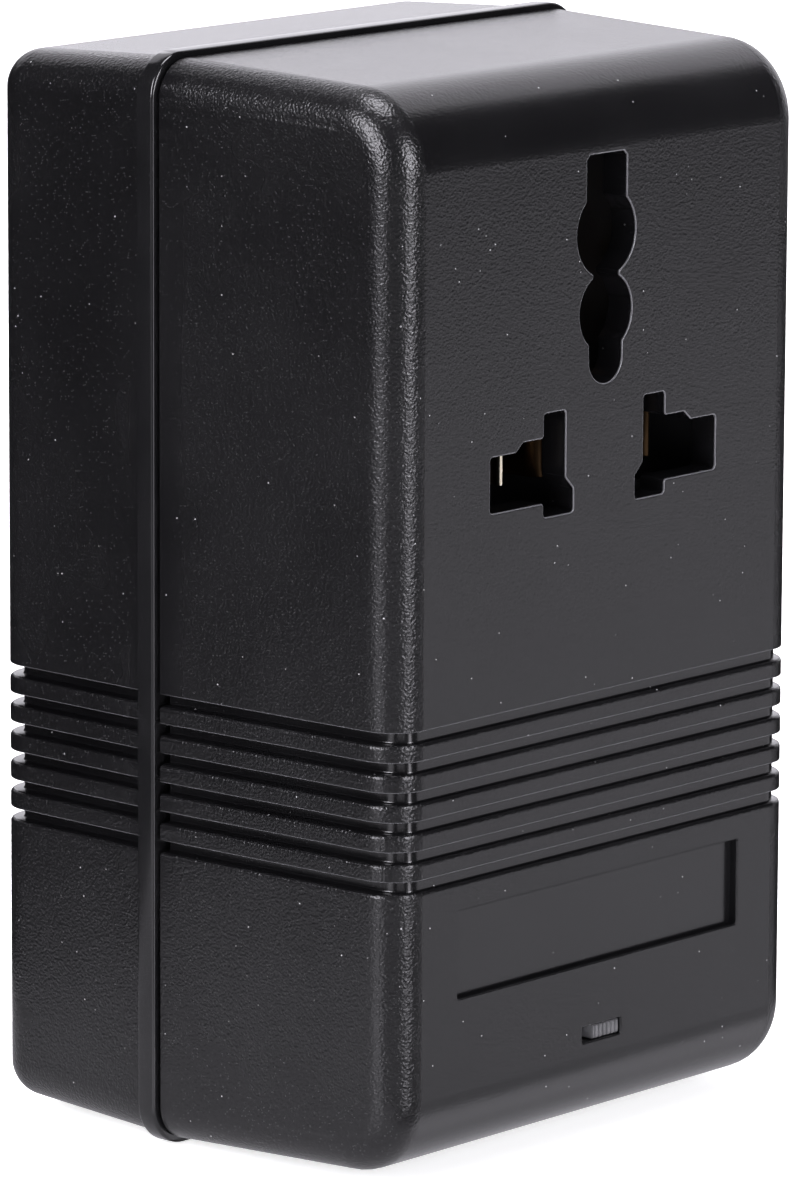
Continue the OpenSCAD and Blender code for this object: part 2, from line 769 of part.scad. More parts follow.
module bobbin() color("#e8e4da")
    difference() {
        union() {
            coil_ring(lam_leg + fit, bobbin_half, bobbin_z0, bobbin_z1);
            coil_ring(lam_leg + fit, flange_half, bobbin_z0, bobbin_z0 + bobbin_wall);
            coil_ring(lam_leg + fit, flange_half, bobbin_z1 - bobbin_wall, bobbin_z1);
        }
        bobbin_pin_bars(thread_gap);
    }

module bobbin_pins() color("#c5c8cc")
    bobbin_pin_bars(0);

module input_winding() color("#b5682f")
    coil_ring(bobbin_half, bobbin_half + input_build, bobbin_z0 + bobbin_wall, bobbin_z1 - bobbin_wall);

module output_winding() color("#a3592a")
    coil_ring(bobbin_half + input_build, bobbin_half + coil_build,
              bobbin_z0 + bobbin_wall, bobbin_z1 - bobbin_wall);

module winding_tape() color("#d8b23c")
    coil_ring(bobbin_half + coil_build, bobbin_half + coil_build + tape_t,
              bobbin_z0 + bobbin_wall, bobbin_z1 - bobbin_wall);

// Thermal cut-out strapped to the front of the coil
module thermal_fuse() color("#d6d2c8")
    translate([-fuse_len / 2, core_y0 - bobbin_half - coil_build - tape_t + lam_leg - fuse_r - fit,
               (bobbin_z0 + bobbin_z1) / 2])
        rotate([0, 90, 0])
            cylinder(r = fuse_r, h = fuse_len);

// Round lead along the points, with a ball at each bend
module lead(points) {
    for (i = [0:len(points) - 2]) {
        step = points[i + 1] - points[i];
        translate(points[i])
            rotate([0, acos(step.z / norm(step)), atan2(step.y, step.x)])
                cylinder(r = lead_r, h = norm(step));
    }
    for (i = [1:1:len(points) - 2])
        translate(points[i])
            sphere(lead_r * bend_swell);
}

module inlet_leads() color("#8a2f2a") {
    y_tail = inlet_y0 - pin_tail;
    y_drop = y_tail - lead_run;
    z_over = core_z2 + clip_t + lead_r + lead_room;
    for (x = [-pin_spacing / 2, pin_spacing / 2])
        lead([[x, y_tail, inlet_z], [x, y_drop, inlet_z], [x, y_drop, z_over],
              [x, rear_pin_y, z_over], [x, rear_pin_y, bobbin_top]]);
}

module output_leads() color("#2f4f8a") {
    z_jog = (core_z2 + socket_z + pocket_z0) / 2;
    for (x = [-tail_x, tail_x])
        lead([[x, front_pin_y, bobbin_top], [x, front_pin_y, z_jog], [x, tail_y, z_jog],
              [x, tail_y, socket_z - tail_half]]);
}

module selector_leads() color("#3a3a3d") {
    z_end = selector_z + terminal_z;
    for (x = [-terminal_pitch, terminal_pitch])
        lead([[frame_x + x, front_pin_y, bobbin_low], [frame_x + x, front_pin_y, z_end],
              [frame_x + x, base_y0 + base_t + terminal_len, z_end]]);
}

front_shell();
rear_shell();
case_screws();
contact_carrier();
carrier_screws();
line_contact();
neutral_contact();
earth_contact();
selector_frame();
selector_base();
selector_terminals();
selector_screws();
selector_knob();
selector_bridges();
inlet_housing();
inlet_pins();
core_e_stack();
core_i_stack();
core_clip();
bobbin();
bobbin_pins();
input_winding();
output_winding();
winding_tape();
thermal_fuse();
inlet_leads();
output_leads();
selector_leads();
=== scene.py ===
import bmesh
import bpy
import numpy as np
from mathutils import Matrix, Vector
from mathutils.geometry import delaunay_2d_cdt


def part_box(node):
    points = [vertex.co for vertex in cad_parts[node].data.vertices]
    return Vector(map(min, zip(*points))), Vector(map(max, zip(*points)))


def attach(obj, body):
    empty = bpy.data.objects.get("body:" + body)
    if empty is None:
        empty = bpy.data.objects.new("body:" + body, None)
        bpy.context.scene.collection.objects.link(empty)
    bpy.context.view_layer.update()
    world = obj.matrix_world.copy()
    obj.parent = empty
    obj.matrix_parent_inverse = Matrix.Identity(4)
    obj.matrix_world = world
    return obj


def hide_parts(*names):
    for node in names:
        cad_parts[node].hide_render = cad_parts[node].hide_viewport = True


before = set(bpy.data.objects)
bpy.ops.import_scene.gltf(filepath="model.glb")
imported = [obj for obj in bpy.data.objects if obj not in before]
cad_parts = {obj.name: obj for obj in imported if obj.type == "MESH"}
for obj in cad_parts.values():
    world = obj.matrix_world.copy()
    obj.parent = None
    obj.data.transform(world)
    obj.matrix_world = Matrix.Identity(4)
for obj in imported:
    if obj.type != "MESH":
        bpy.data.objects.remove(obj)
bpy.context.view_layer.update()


# Front shell
# One black ABS moulding with the socket panel, six grip grooves all round and a blank label recess.
# The mould is spark-eroded outside and polished in the grooves. The shell drops over the rear's tongue.
MM = 0.001


def corners(name):
    """Lowest and highest corner of a CAD node in millimetres, the unit of every size of a piece below."""
    return [np.array(point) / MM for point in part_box(name)]


front_low, front_high = corners("front_shell")
y_face = front_low[1]
panel_t = 2.6
y_panel = y_face + panel_t
shadow_gap = 0.33
y_front_joint = front_high[1] - shadow_gap
case_low = front_low[2]
case_high = front_high[2]
joint_half = front_high[0]
front_half = 26.1
front_taper = 0.7
case_corner = 3.3
front_roll = 6.7
inner_half = 23.9
inner_low = 3.35
inner_high = 89.65
inner_corner = 1.1
inner_roll = 1.8
socket_z = 58.55
groove_count = 6
groove_pitch = 2.5
groove_open = 1.0
groove_depth = 1.2
groove_fillet = 0.16
groove_lip = 0.1
groove_drop = 19.25
face_share = 0.4
shoulder_in = 0.4
shoulder_rise = 0.4
# Lightening of the groove lips: partly scuffing, partly a painted highlight.
lip_wear_and_sheen = 0.45
label_half = 18.25
label_top = socket_z - 35.2
label_low = label_top - 7.44
label_depth = 0.75
label_corner = 0.2
hole_edge = 0.14
hole_corner = 0.32
flat_strip = 0.1
window_x = 0.3
window_z = 9.8
window_half = 2.5
window_half_h = 0.7
window_corner = 0.15
label_grain = 0.05
face_grain = 0.35
edge_grain = [face_grain, face_grain, 0.2, 0, 0, 0]
# Lightening of a rim's rows: partly scuffing, partly a painted highlight on the rounded edge.
edge_wear_and_sheen = [0, 0, 0.8, 0.8, 0.4, 0]
roll_count = 13
quarter_steps = 7
side_steps = 10
arc_steps = 14
across_steps = 18
first_column = side_steps + arc_steps - 1


def grid_quads(rows, columns, closed=False):
    """Quads of a grid whose points run row by row. A closed grid joins its last column to its first."""
    row = np.arange(rows - 1)[:, None] * columns
    here = np.arange(columns if closed else columns - 1)[None, :]
    there = (here + 1) % columns
    return np.stack([row + here, row + there, row + columns + there, row + columns + here], -1).reshape(-1, 4)


def block(surface, grain=0.0, wear_and_sheen=0.0):
    """Part of a piece: a surface's points and faces with the grain of its points and how much lighter they
    are painted, partly for scuffing and partly as a painted highlight.
    """
    return (*surface, grain, wear_and_sheen)


def round_corners(points, radius, steps=6, closed=True):
    """Outline with each corner replaced by an arc that touches both its edges: the arc's centre lies on the
    corner's bisector, and its points turn evenly from one touching point to the other."""
    points = np.asarray(points, float)
    back = np.roll(points, 1, 0) - points
    ahead = np.roll(points, -1, 0) - points
    back /= np.linalg.norm(back, axis=1, keepdims=True)
    ahead /= np.linalg.norm(ahead, axis=1, keepdims=True)
    half_angle = np.arccos(np.clip((back * ahead).sum(1), -1, 1)) / 2
    radius = np.broadcast_to(radius, half_angle.shape)
    bisector = back + ahead
    bisector /= np.maximum(np.linalg.norm(bisector, axis=1, keepdims=True), 1e-9)
    centre = points + bisector * (radius / np.sin(half_angle))[:, None]
    first = points + back * (radius / np.tan(half_angle))[:, None] - centre
    last = points + ahead * (radius / np.tan(half_angle))[:, None] - centre
    turn = (np.pi - 2 * half_angle)[:, None, None]
    share = np.linspace(0, 1, steps)[None, :, None]
    arcs = first[:, None] * np.sin((1 - share) * turn) + last[:, None] * np.sin(share * turn)
    arcs = centre[:, None] + arcs / np.sin(turn)
    if closed:
        return arcs.reshape(-1, 2)
    return np.concatenate([points[:1], arcs[1:-1].reshape(-1, 2), points[-1:]])


def grown(loop, distance):
    """Loop moved outwards by a distance: each point goes along its two edges' mean normal, mitred."""
    ahead = np.roll(loop, -1, 0)
    edge = ahead - loop
    edge /= np.linalg.norm(edge, axis=1, keepdims=True)
    normal = np.stack([edge[:, 1], -edge[:, 0]], 1)
    area = (loop[:, 0] * ahead[:, 1] - loop[:, 1] * ahead[:, 0]).sum()
    mean = normal + np.roll(normal, 1, 0)
    mean *= 2 / (mean * mean).sum(1, keepdims=True)
    return loop + np.sign(area) * distance * mean


def loop_walls(loop, offsets, depths):
    """Wall along Y: a row for each pair of offset and depth, the loop grown by that offset at that depth."""
    rows = [np.insert(grown(loop, offset), 1, depth, axis=1) for offset, depth in zip(offsets, depths)]
    return np.concatenate(rows), grid_quads(len(rows), len(loop), closed=True)


def lid(loop, offset, depth):
    """Flat face over a grown loop."""
    return np.insert(grown(loop, offset), 1, depth, axis=1), np.arange(len(loop))[None, :]


def flat_fill(outline, holes, depth):
    """Flat face at one depth inside an outline and outside its holes, cut into triangles along the edges."""
    loops = [outline, *holes]
    starts = np.cumsum([0] + [len(loop) for loop in loops])
    rings = [list(range(a, b)) for a, b in zip(starts[:-1], starts[1:])]
    points, _, faces, *_ = delaunay_2d_cdt(np.concatenate(loops).tolist(), [], rings, 2, 1e-5)
    return np.insert(np.array([tuple(point) for point in points]), 1, depth, axis=1), np.array(faces)


def edge_rows(radius, start, step, count=5):
    """Offsets and depths of a rounded rim: a narrow flat strip on the face, then a quarter circle from there,
    where the loop is widest, to the wall."""
    turn = np.linspace(0, np.pi / 2, count)
    offsets = [radius + flat_strip, *radius * (1 - np.sin(turn))]
    return np.array(offsets), np.array([start, *(start + step * radius * (1 - np.cos(turn)))])


def shell_rows(low, high, corner_r, roll, grooved):
    """Profile of a shell from its bottom edge to its top edge: inset, height, tilt, share of the draft, grain
    and lightening of each row. The rows of the bottom and top rolls tilt from flat to upright. Each groove
    between them is a rounded shoulder, a filleted floor and a small lip, with a narrow flat strip of the ribs
    on both sides. The grooves are polished, and their lips are painted lighter, partly for scuffing and
    partly as a painted highlight along the edge."""
    tilt = np.linspace(0, np.pi / 2, roll_count)
    quarter = np.linspace(0, np.pi / 2, quarter_steps)
    sine = np.sin(quarter)
    cosine = np.cos(quarter)
    floor_in = groove_depth - groove_fillet
    inset = np.concatenate([[0], shoulder_in * (1 - cosine), floor_in + groove_fillet * sine,
                            floor_in + groove_fillet * cosine, groove_lip * (1 - sine), [0]])
    rise = np.concatenate([[-groove_open - shoulder_rise - flat_strip],
                           shoulder_rise * (sine - 1) - groove_open,
                           groove_fillet * (1 - cosine) - groove_open, groove_fillet * (sine - 1),
                           groove_lip * (1 - cosine), [groove_lip + flat_strip]])
    top_edges = socket_z - groove_drop - groove_pitch * np.arange(groove_count)[::-1]
    levels = (top_edges[:, None] + rise).ravel()
    bow = (roll - corner_r) * np.sin(tilt)
    height = np.concatenate([low + roll - bow[::-1], [low + roll + flat_strip], levels,
                             [high - roll - flat_strip], high - roll + bow])
    ends = roll_count + 1
    plain = np.zeros(ends)
    none = np.zeros(quarter_steps)
    ease = np.linspace(0, 1, quarter_steps)
    grained = np.concatenate([[1], 1 - ease ** 4, none, none, ease, [1]])
    # Groove lips painted lighter: partly scuffing, partly a painted highlight along the edge.
    rub_and_sheen = np.concatenate([[0], none, none, none, lip_wear_and_sheen * np.sin(np.pi * ease), [0]])
    insets = np.concatenate([plain, np.tile(inset * grooved, groove_count), plain])
    tilts = np.concatenate([-tilt[::-1], np.zeros(len(levels) + 2), tilt])
    lift = np.repeat([-1.0, 0.0, 1.0], [ends, len(levels), ends])
    grain = np.concatenate([plain + 1, np.tile(grained, groove_count), plain + 1])
    wear_and_sheen = np.concatenate([plain, np.tile(rub_and_sheen, groove_count), plain])
    return insets, height, tilts, lift, grain, wear_and_sheen


def shell_skin(rows, half, corner_r, roll, face_y, far_half, far_y, taper, share_across=1.0):
    """One skin of a shell as a grid: each row of the profile runs from the joint along a side, round a
    quarter circle, across the face and back the same way, drawn in by the row's inset. Round the quarter
    circle the inset eases to the share of it that is kept across the face. On the rolls the quarter circle
    and the stretch across turn about the side by the row's tilt, and its centre goes round the roll. Behind
    that centre the draft widens the row and, by the row's share of the draft, takes it up or down."""
    inset, height, tilt, lift = (column[:, None] for column in rows[:4])
    towards = np.sign(far_y - face_y)
    centre = face_y + towards * (roll - (roll - corner_r) * np.cos(tilt))
    along = np.append(np.linspace(0, 0.98, side_steps - 1), 1)[None, :]
    turn = np.linspace(0, np.pi / 2, arc_steps)[None, 1:]
    across = np.linspace(-1, 1, across_steps)[None, :]
    eased = 1 - (1 - share_across) * np.sin(turn) ** 2
    arc_r = np.maximum(corner_r - inset * eased, 0)
    face_r = np.maximum(corner_r - inset * share_across, 0)
    side_x = -(half - inset) + 0 * along
    side_y = far_y + (centre - far_y) * along
    arc_x = -(half - corner_r) - arc_r * np.cos(turn)
    arc_out = arc_r * np.sin(turn)
    face_x = (half - corner_r - flat_strip) * across + 0 * face_r
    face_out = face_r + 0 * across
    x = np.concatenate([side_x, arc_x, face_x, -arc_x[:, ::-1], -side_x[:, ::-1]], 1)
    out = np.concatenate([0 * side_y, arc_out, face_out, arc_out[:, ::-1], 0 * side_y], 1)
    middle_y = centre + 0 * np.concatenate([arc_out, face_out, arc_out], 1)
    depth = np.concatenate([side_y, middle_y, side_y[:, ::-1]], 1)
    share = (depth - centre) / (far_y - centre)
    x = x * (1 + share * (far_half / half - 1))
    y = depth - towards * np.cos(tilt) * out
    z = height + np.sin(tilt) * out + lift * taper * share
    return np.stack([x, y, z], -1)


def shell_blocks(rows, skin, open_rows):
    """Faces of one skin: the grid without its face stretch in the open rows, and the top and bottom covers,
    which carry the arch of the last row along its sides to the joint. The face stretch is less grained. Also
    gives the outline of each open stretch and the line of the joint."""
    count, columns = skin.shape[:2]
    quads = grid_quads(count, columns).reshape(count - 1, columns - 1, 4)
    keep = np.ones(quads.shape[:2], bool)
    last_column = columns - 1 - first_column
    keep[open_rows, first_column:last_column] = False
    face = np.ones(columns)
    face[first_column:last_column + 1] = face_grain
    grain = (rows[4][:, None] * face).ravel()
    blocks = [block((skin.reshape(-1, 3), quads[keep]), grain, np.repeat(rows[5], columns))]
    arch_grain = np.tile(face[side_steps - 1:1 - side_steps], side_steps)
    joint = []
    for row in (0, -1):
        side = skin[row, :side_steps, None]
        arch = skin[row, None, side_steps - 1:1 - side_steps]
        cover = np.stack([arch[..., 0] * side[..., 0] / side[-1, :, 0], 0 * arch[..., 0] + side[..., 1],
                          arch[..., 2] + side[..., 2] - side[-1, :, 2]], -1)
        blocks.append(block((cover.reshape(-1, 3), grid_quads(*cover.shape[:2])), arch_grain))
        joint.append(cover[0])
    stretch = skin[:, first_column:last_column + 1]
    outlines = [np.concatenate([stretch[row], stretch[row + 1][::-1]])[:, [0, 2]] for row in open_rows]
    rim = np.concatenate([skin[:, 0], joint[1][1:-1], skin[::-1, -1], joint[0][::-1][1:-1]])
    return blocks, outlines, rim


def face_outline(skin):
    """Outline of a skin's whole flat face: its lowest row, right column, highest row and left column."""
    face = skin[low_row:high_row + 2, first_column:-first_column]
    return np.concatenate([face[0], face[1:-1, -1], face[-1, ::-1], face[1:-1, 0][::-1]])[:, [0, 2]]


def joined(outer_rim, inner_rim):
    """Flat end of a shell's wall: quads between the two skins' lines at the joint."""
    return block((np.concatenate([outer_rim, inner_rim]), grid_quads(2, len(outer_rim), closed=True)))


def as_piece(name, blocks, material, sharp=38):
    """One mesh object from blocks of points, faces, grain and lightening (partly scuffing, partly painted
    highlight): doubles merged, faces turned outwards, shaded smooth except at edges sharper than the angle
    given."""
    starts = np.cumsum([0] + [len(part[0]) for part in blocks])
    faces = [face for start, part in zip(starts, blocks) for face in (np.asarray(part[1]) + start).tolist()]
    mesh = bpy.data.meshes.new(name)
    mesh.from_pydata(np.concatenate([part[0] for part in blocks]) * MM, [], faces)
    for column, key in ((2, "grain"), (3, "wear_and_sheen")):
        values = [np.broadcast_to(np.asarray(part[column], np.float32), len(part[0])) for part in blocks]
        mesh.attributes.new(key, "FLOAT", "POINT").data.foreach_set("value", np.concatenate(values))
    merged = bmesh.new()
    merged.from_mesh(mesh)
    bmesh.ops.remove_doubles(merged, verts=merged.verts, dist=0.004 * MM)
    bmesh.ops.dissolve_degenerate(merged, dist=0.0005 * MM, edges=merged.edges)
    bmesh.ops.recalc_face_normals(merged, faces=merged.faces)
    merged.to_mesh(mesh)
    merged.free()
    mesh.polygons.foreach_set("use_smooth", np.ones(len(mesh.polygons), bool))
    mesh.set_sharp_from_angle(angle=np.radians(sharp))
    mesh.materials.append(material)
    piece = bpy.data.objects.new(name, mesh)
    bpy.context.scene.collection.objects.link(piece)
    return piece


def new_finish(name):
    """Empty node material: gives the material, its tree, its shader and the object coordinates."""
    material = bpy.data.materials.new(name)
    material.use_nodes = True
    tree = material.node_tree
    shader = tree.nodes["Principled BSDF"]
    place = tree.nodes.new("ShaderNodeTexCoord").outputs["Object"]
    return material, tree, shader, place


def node(tree, kind, inputs, **settings):
    """New node with its settings made and its inputs set or linked."""
    made = tree.nodes.new("ShaderNode" + kind)
    for key, value in settings.items():
        setattr(made, key, value)
    for key, value in inputs.items():
        if isinstance(value, bpy.types.NodeSocket):
            tree.links.new(value, made.inputs[key])
        else:
            made.inputs[key].default_value = value
    return made


def noise(tree, place, scale, detail):
    """Cloudy noise from 0 to 1, its scale in cells to the metre."""
    return node(tree, "TexNoise", {"Vector": place, "Scale": scale, "Detail": detail}).outputs["Fac"]


def spread(tree, value, low, high):
    """Value from 0 to 1 spread between two limits."""
    return node(tree, "MapRange", {"Value": value, "To Min": low, "To Max": high}).outputs[0]


def worked(tree, operation, first, second):
    """Result of one sum on two numbers."""
    return node(tree, "Math", {0: first, 1: second}, operation=operation).outputs[0]


def blended(tree, share, first, second):
    """Colour between two colours."""
    inputs = {"Factor": share, "A": first, "B": second}
    return node(tree, "Mix", inputs, data_type="RGBA").outputs["Result"]


def point_value(tree, name):
    """Number that the mesh gives each of its points under a name."""
    return node(tree, "Attribute", {}, attribute_name=name).outputs["Fac"]


def ramp(tree, factor, stops):
    """Colour ramp through (place, grey or colour) stops."""
    made = tree.nodes.new("ShaderNodeValToRGB")
    tree.links.new(factor, made.inputs["Fac"])
    points = made.color_ramp.elements
    while len(points) < len(stops):
        points.new(0.5)
    for point, (place, colour) in zip(points, stops):
        point.position = place
        point.color = (*np.broadcast_to(colour, 3), 1)
    return made.outputs["Color"]


def link_finish(tree, shader, colour, rough, height, strength, distance=0.00003):
    """Links a finish's colour and roughness to its shader, and a bump from a height. Distance in metres."""
    bump = node(tree, "Bump", {"Height": height, "Strength": strength, "Distance": distance}).outputs[0]
    tree.links.new(bump, shader.inputs["Normal"])
    tree.links.new(colour, shader.inputs["Base Color"])
    tree.links.new(rough, shader.inputs["Roughness"])


def case_plastic():
    """Black moulded ABS: fine pitted grain where the grain attribute says so, gloss in the smooth places,
    slow changes of shade, a lighter colour on the edges that the mesh marks, partly scuffing and partly a
    painted highlight along lips and rims, painted dots of sparkle in the grain and a few dust specks. The
    painted sparkle and the specks are the round middles of a share of small cells."""
    material, tree, shader, place = new_finish("case_plastic")
    grain = point_value(tree, "grain")
    wear_and_sheen = point_value(tree, "wear_and_sheen")
    cells = node(tree, "TexVoronoi", {"Vector": place, "Scale": 4800.0}, feature="SMOOTH_F1")
    height = worked(tree, "ADD", cells.outputs["Distance"], noise(tree, place, 3600.0, 4.0))
    cloud = noise(tree, place, 60.0, 3.0)
    shade = ramp(tree, cloud, [(0.3, (0.0030, 0.0029, 0.0033)), (0.7, (0.0052, 0.0051, 0.0056))])
    # Marked edges painted lighter: partly scuffing, partly a painted highlight along the lips and rims.
    colour = blended(tree, wear_and_sheen, shade, (0.12, 0.12, 0.127, 1))
    turned = node(tree, "Mapping", {"Vector": place, "Rotation": (0.6, 0.9, 0.4)}).outputs[0]
    # Painted sparkle: lighter dots that stand in for light glinting off the grain. The specks are dust.
    painted_glints = (5200.0, 0.84, 0.4, grain, 0.034)
    specks = (1500.0, 0.945, 0.13, 1.0, 0.4)
    for scale, left_out, reach, weight, tint in (painted_glints, specks):
        dots = node(tree, "TexVoronoi", {"Vector": turned, "Scale": scale})
        fade = ramp(tree, dots.outputs["Distance"], [(0.0, 1.0), (0.3 * reach, 0.9), (reach, 0.0)])
        draw = node(tree, "SeparateColor", {"Color": dots.outputs["Color"]}).outputs["Red"]
        chosen = worked(tree, "GREATER_THAN", draw, left_out)
        dotted = worked(tree, "MULTIPLY", worked(tree, "MULTIPLY", fade, chosen), weight)
        colour = blended(tree, dotted, colour, (tint, tint, tint, 1))
    polish = spread(tree, grain, 0.19, 0.275)
    smear = spread(tree, cloud, -0.03, 0.03)
    rough = worked(tree, "ADD", polish, smear)
    link_finish(tree, shader, colour, rough, height, spread(tree, grain, 0.03, 0.8), 0.00005)
    return material


def live_hole(side):
    """Stepped outline of one live hole, right (1) or left (-1): a flat blade slot, a bar slot and a foot."""
    points = np.array([(5.05, 5.15), (7.8, 5.15), (7.8, 3.1), (10.4, 3.1), (11.3, 2.33), (14.55, 2.33),
                       (14.55, -2.33), (7.8, -2.33), (7.8, -3.54), (4.0, -3.54), (4.0, -1.55), (5.05, -0.5)])
    return round_corners(points * (side, 1) + (0, socket_z), hole_corner)


def earth_hole():
    """Keyhole outline of the earth opening: half widths that follow a slot, two circles, a neck and a round
    foot, read from the top down the right side, then mirrored up the left."""
    slot, slot_top, slot_corner = 2.55, 26.1, 0.4
    upper_r, upper_z = 3.75, 19.45
    lower_r, lower_z = 3.35, 12.8
    neck, foot, foot_low = 1.65, 2.1, 6.82
    upper = np.linspace(np.arccos(slot / upper_r), -np.arccos(neck / upper_r), 22)
    lower = np.linspace(np.arccos(neck / lower_r), -np.arccos(foot / lower_r), 22)
    base = np.linspace(0, -np.pi / 2, 12)
    x = np.concatenate([[slot - slot_corner, slot], upper_r * np.cos(upper), lower_r * np.cos(lower),
                        foot * np.cos(base)])
    z = np.concatenate([[slot_top, slot_top - slot_corner], upper_z + upper_r * np.sin(upper),
                        lower_z + lower_r * np.sin(lower), foot_low + foot + foot * np.sin(base)])
    right = np.stack([x, z + socket_z], 1)
    return np.concatenate([right, right[:-1][::-1] * (-1, 1)])


def round_box(x, z, half, half_h, radius):
    """Rectangle round a centre with round corners."""
    sides = np.array([(half, half_h), (-half, half_h), (-half, -half_h), (half, -half_h)])
    return round_corners(sides + (x, z), radius)


plastic = case_plastic()
front_rows = shell_rows(case_low + front_taper, case_high - front_taper, case_corner, front_roll, True)
front_skin = shell_skin(front_rows, front_half, case_corner, front_roll, y_face, joint_half, y_front_joint,
                        front_taper, face_share)
low_row = roll_count
high_row = len(front_rows[0]) - roll_count - 2
all_rows = np.arange(low_row, high_row + 1)
front_blocks, (low_face, high_face), front_rim = shell_blocks(front_rows, front_skin, [low_row, high_row])
inner_rows = shell_rows(inner_low, inner_high, inner_corner, inner_roll, False)
front_inside = shell_skin(inner_rows, inner_half, inner_corner, inner_roll, y_panel, inner_half,
                          y_front_joint, 0)
inside_blocks, _, inside_rim = shell_blocks(inner_rows, front_inside, all_rows)
label = round_box(0, (label_top + label_low) / 2, label_half, (label_top - label_low) / 2, label_corner)
window = round_box(window_x, window_z, window_half, window_half_h, window_corner)
socket_holes = [live_hole(-1), live_hole(1), earth_hole()]
cut = hole_edge + flat_strip
high_holes = [grown(hole, cut) for hole in socket_holes]
low_holes = [grown(hole, cut) for hole in (label, window)]
front_blocks.append(block(flat_fill(high_face, high_holes, y_face), face_grain))
front_blocks.append(block(flat_fill(low_face, low_holes, y_face), face_grain))
edge_offsets, edge_depths = edge_rows(hole_edge, y_face, 1)
# The socket holes' rims are painted lighter, partly scuffing and partly a painted highlight; the window's rim
# is not.
for hole, rub_and_sheen in (*((hole, 1.0) for hole in socket_holes), (window, 0.0)):
    hole_grain = np.repeat([*edge_grain, 0], len(hole))
    hole_wear_and_sheen = rub_and_sheen * np.repeat([*edge_wear_and_sheen, 0], len(hole))
    hole_walls = loop_walls(hole, [*edge_offsets, 0], [*edge_depths, y_panel])
    front_blocks.append(block(hole_walls, hole_grain, hole_wear_and_sheen))
label_walls = loop_walls(label, [*edge_offsets, 0], [*edge_depths, y_face + label_depth])
front_blocks.append(block(label_walls, np.repeat([*edge_grain, label_grain], len(label))))
front_blocks.append(block(lid(label, 0, y_face + label_depth), label_grain))
inside_blocks.append(block(flat_fill(face_outline(front_inside), [*socket_holes, window], y_panel)))
front = as_piece("front_shell_skin", [*front_blocks, *inside_blocks, joined(front_rim, inside_rim)], plastic)
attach(front, "case")
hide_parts("front_shell")


# Rear shell
# The same black moulding from behind, with the same grooves. Four deep counterbores take the case screws,
# and a shallow pocket takes the mains inlet's flange.
screw_low, screw_high = corners("case_screws")
inlet_low, inlet_high = corners("inlet_housing")
y_back = corners("rear_shell")[1][1]
y_part = front_high[1]
band_w = 1.9
y_band = y_part + band_w
joint_lap = 0.4
y_rear_joint = y_band - joint_lap
back_t = 2.2
y_floor = y_back - back_t
rear_half = 26.15
rear_taper = 0.65
head_r = 2.4
counterbore_r = 2.7
boss_r = 3.6
shank_hole_r = 1.55
boss_step = boss_r - counterbore_r
shank_step = shank_hole_r - counterbore_r
y_seat = y_part + 5.0
flange_t = 1.0
flange_lip = 1.5
pocket_gap = 0.1
pocket_corner = 0.8
opening_corner = 0.4
y_shelf = y_back - flange_t
inlet_z = (inlet_low[2] + inlet_high[2]) / 2
flange_half = inlet_high[0]
flange_half_h = (inlet_high[2] - inlet_low[2]) / 2


def circle(x, z, radius, steps=48):
    """Closed round loop."""
    turn = np.linspace(0, 2 * np.pi, steps, endpoint=False)
    return np.stack([x + radius * np.cos(turn), z + radius * np.sin(turn)], 1)


rear_rows = shell_rows(case_low + rear_taper, case_high - rear_taper, case_corner, case_corner, True)
rear_skin = shell_skin(rear_rows, rear_half, case_corner, case_corner, y_back, joint_half, y_rear_joint,
                       rear_taper)
rear_blocks, rear_faces, rear_rim = shell_blocks(rear_rows, rear_skin, [low_row, high_row])
rear_inside = shell_skin(inner_rows, inner_half, inner_corner, inner_roll, y_floor, inner_half,
                         y_rear_joint, 0)
rear_inside_blocks, _, rear_inside_rim = shell_blocks(inner_rows, rear_inside, all_rows)
screw_x = screw_high[0] - head_r
screw_levels = (screw_low[2] + head_r, screw_high[2] - head_r)
low_bores, high_bores = [[circle(side * screw_x, level, counterbore_r) for side in (-1, 1)]
                         for level in screw_levels]
pocket = round_box(0, inlet_z, flange_half + pocket_gap, flange_half_h + pocket_gap, pocket_corner)
opening_half = flange_half - flange_lip + pocket_gap
opening_half_h = flange_half_h - flange_lip + pocket_gap
opening = round_box(0, inlet_z, opening_half, opening_half_h, opening_corner)
low_cuts = [grown(bore, cut) for bore in low_bores]
high_cuts = [grown(loop, cut) for loop in (*high_bores, pocket)]
for face, cuts in zip(rear_faces, (low_cuts, high_cuts)):
    rear_blocks.append(block(flat_fill(face, cuts, y_back), face_grain))
back_offsets, back_depths = edge_rows(hole_edge, y_back, -1)
# The counterbores' and the pocket's rims are painted lighter: partly scuffing, partly a painted highlight.
for bore in (*low_bores, *high_bores):
    bore_offsets = [*back_offsets, 0, shank_step, shank_step, boss_step, boss_step]
    bore_depths = [*back_depths, y_seat, y_seat, y_part, y_part, y_floor]
    bore_grain = np.repeat([*edge_grain, 0, 0, 0, 0, 0], len(bore))
    bore_wear_and_sheen = np.repeat([*edge_wear_and_sheen, 0, 0, 0, 0, 0], len(bore))
    rear_blocks.append(block(loop_walls(bore, bore_offsets, bore_depths), bore_grain, bore_wear_and_sheen))
pocket_walls = loop_walls(pocket, [*back_offsets, 0], [*back_depths, y_shelf])
pocket_grain = np.repeat([*edge_grain, 0], len(pocket))
pocket_wear_and_sheen = np.repeat([*edge_wear_and_sheen, 0], len(pocket))
rear_blocks.append(block(pocket_walls, pocket_grain, pocket_wear_and_sheen))
rear_blocks.append(block(flat_fill(pocket, [opening], y_shelf)))
rear_blocks.append(block(loop_walls(opening, [0, 0], [y_shelf, y_floor])))
bosses = [grown(bore, boss_step) for bore in (*low_bores, *high_bores)]
rear_inside_blocks.append(block(flat_fill(face_outline(rear_inside), [*bosses, opening], y_floor)))
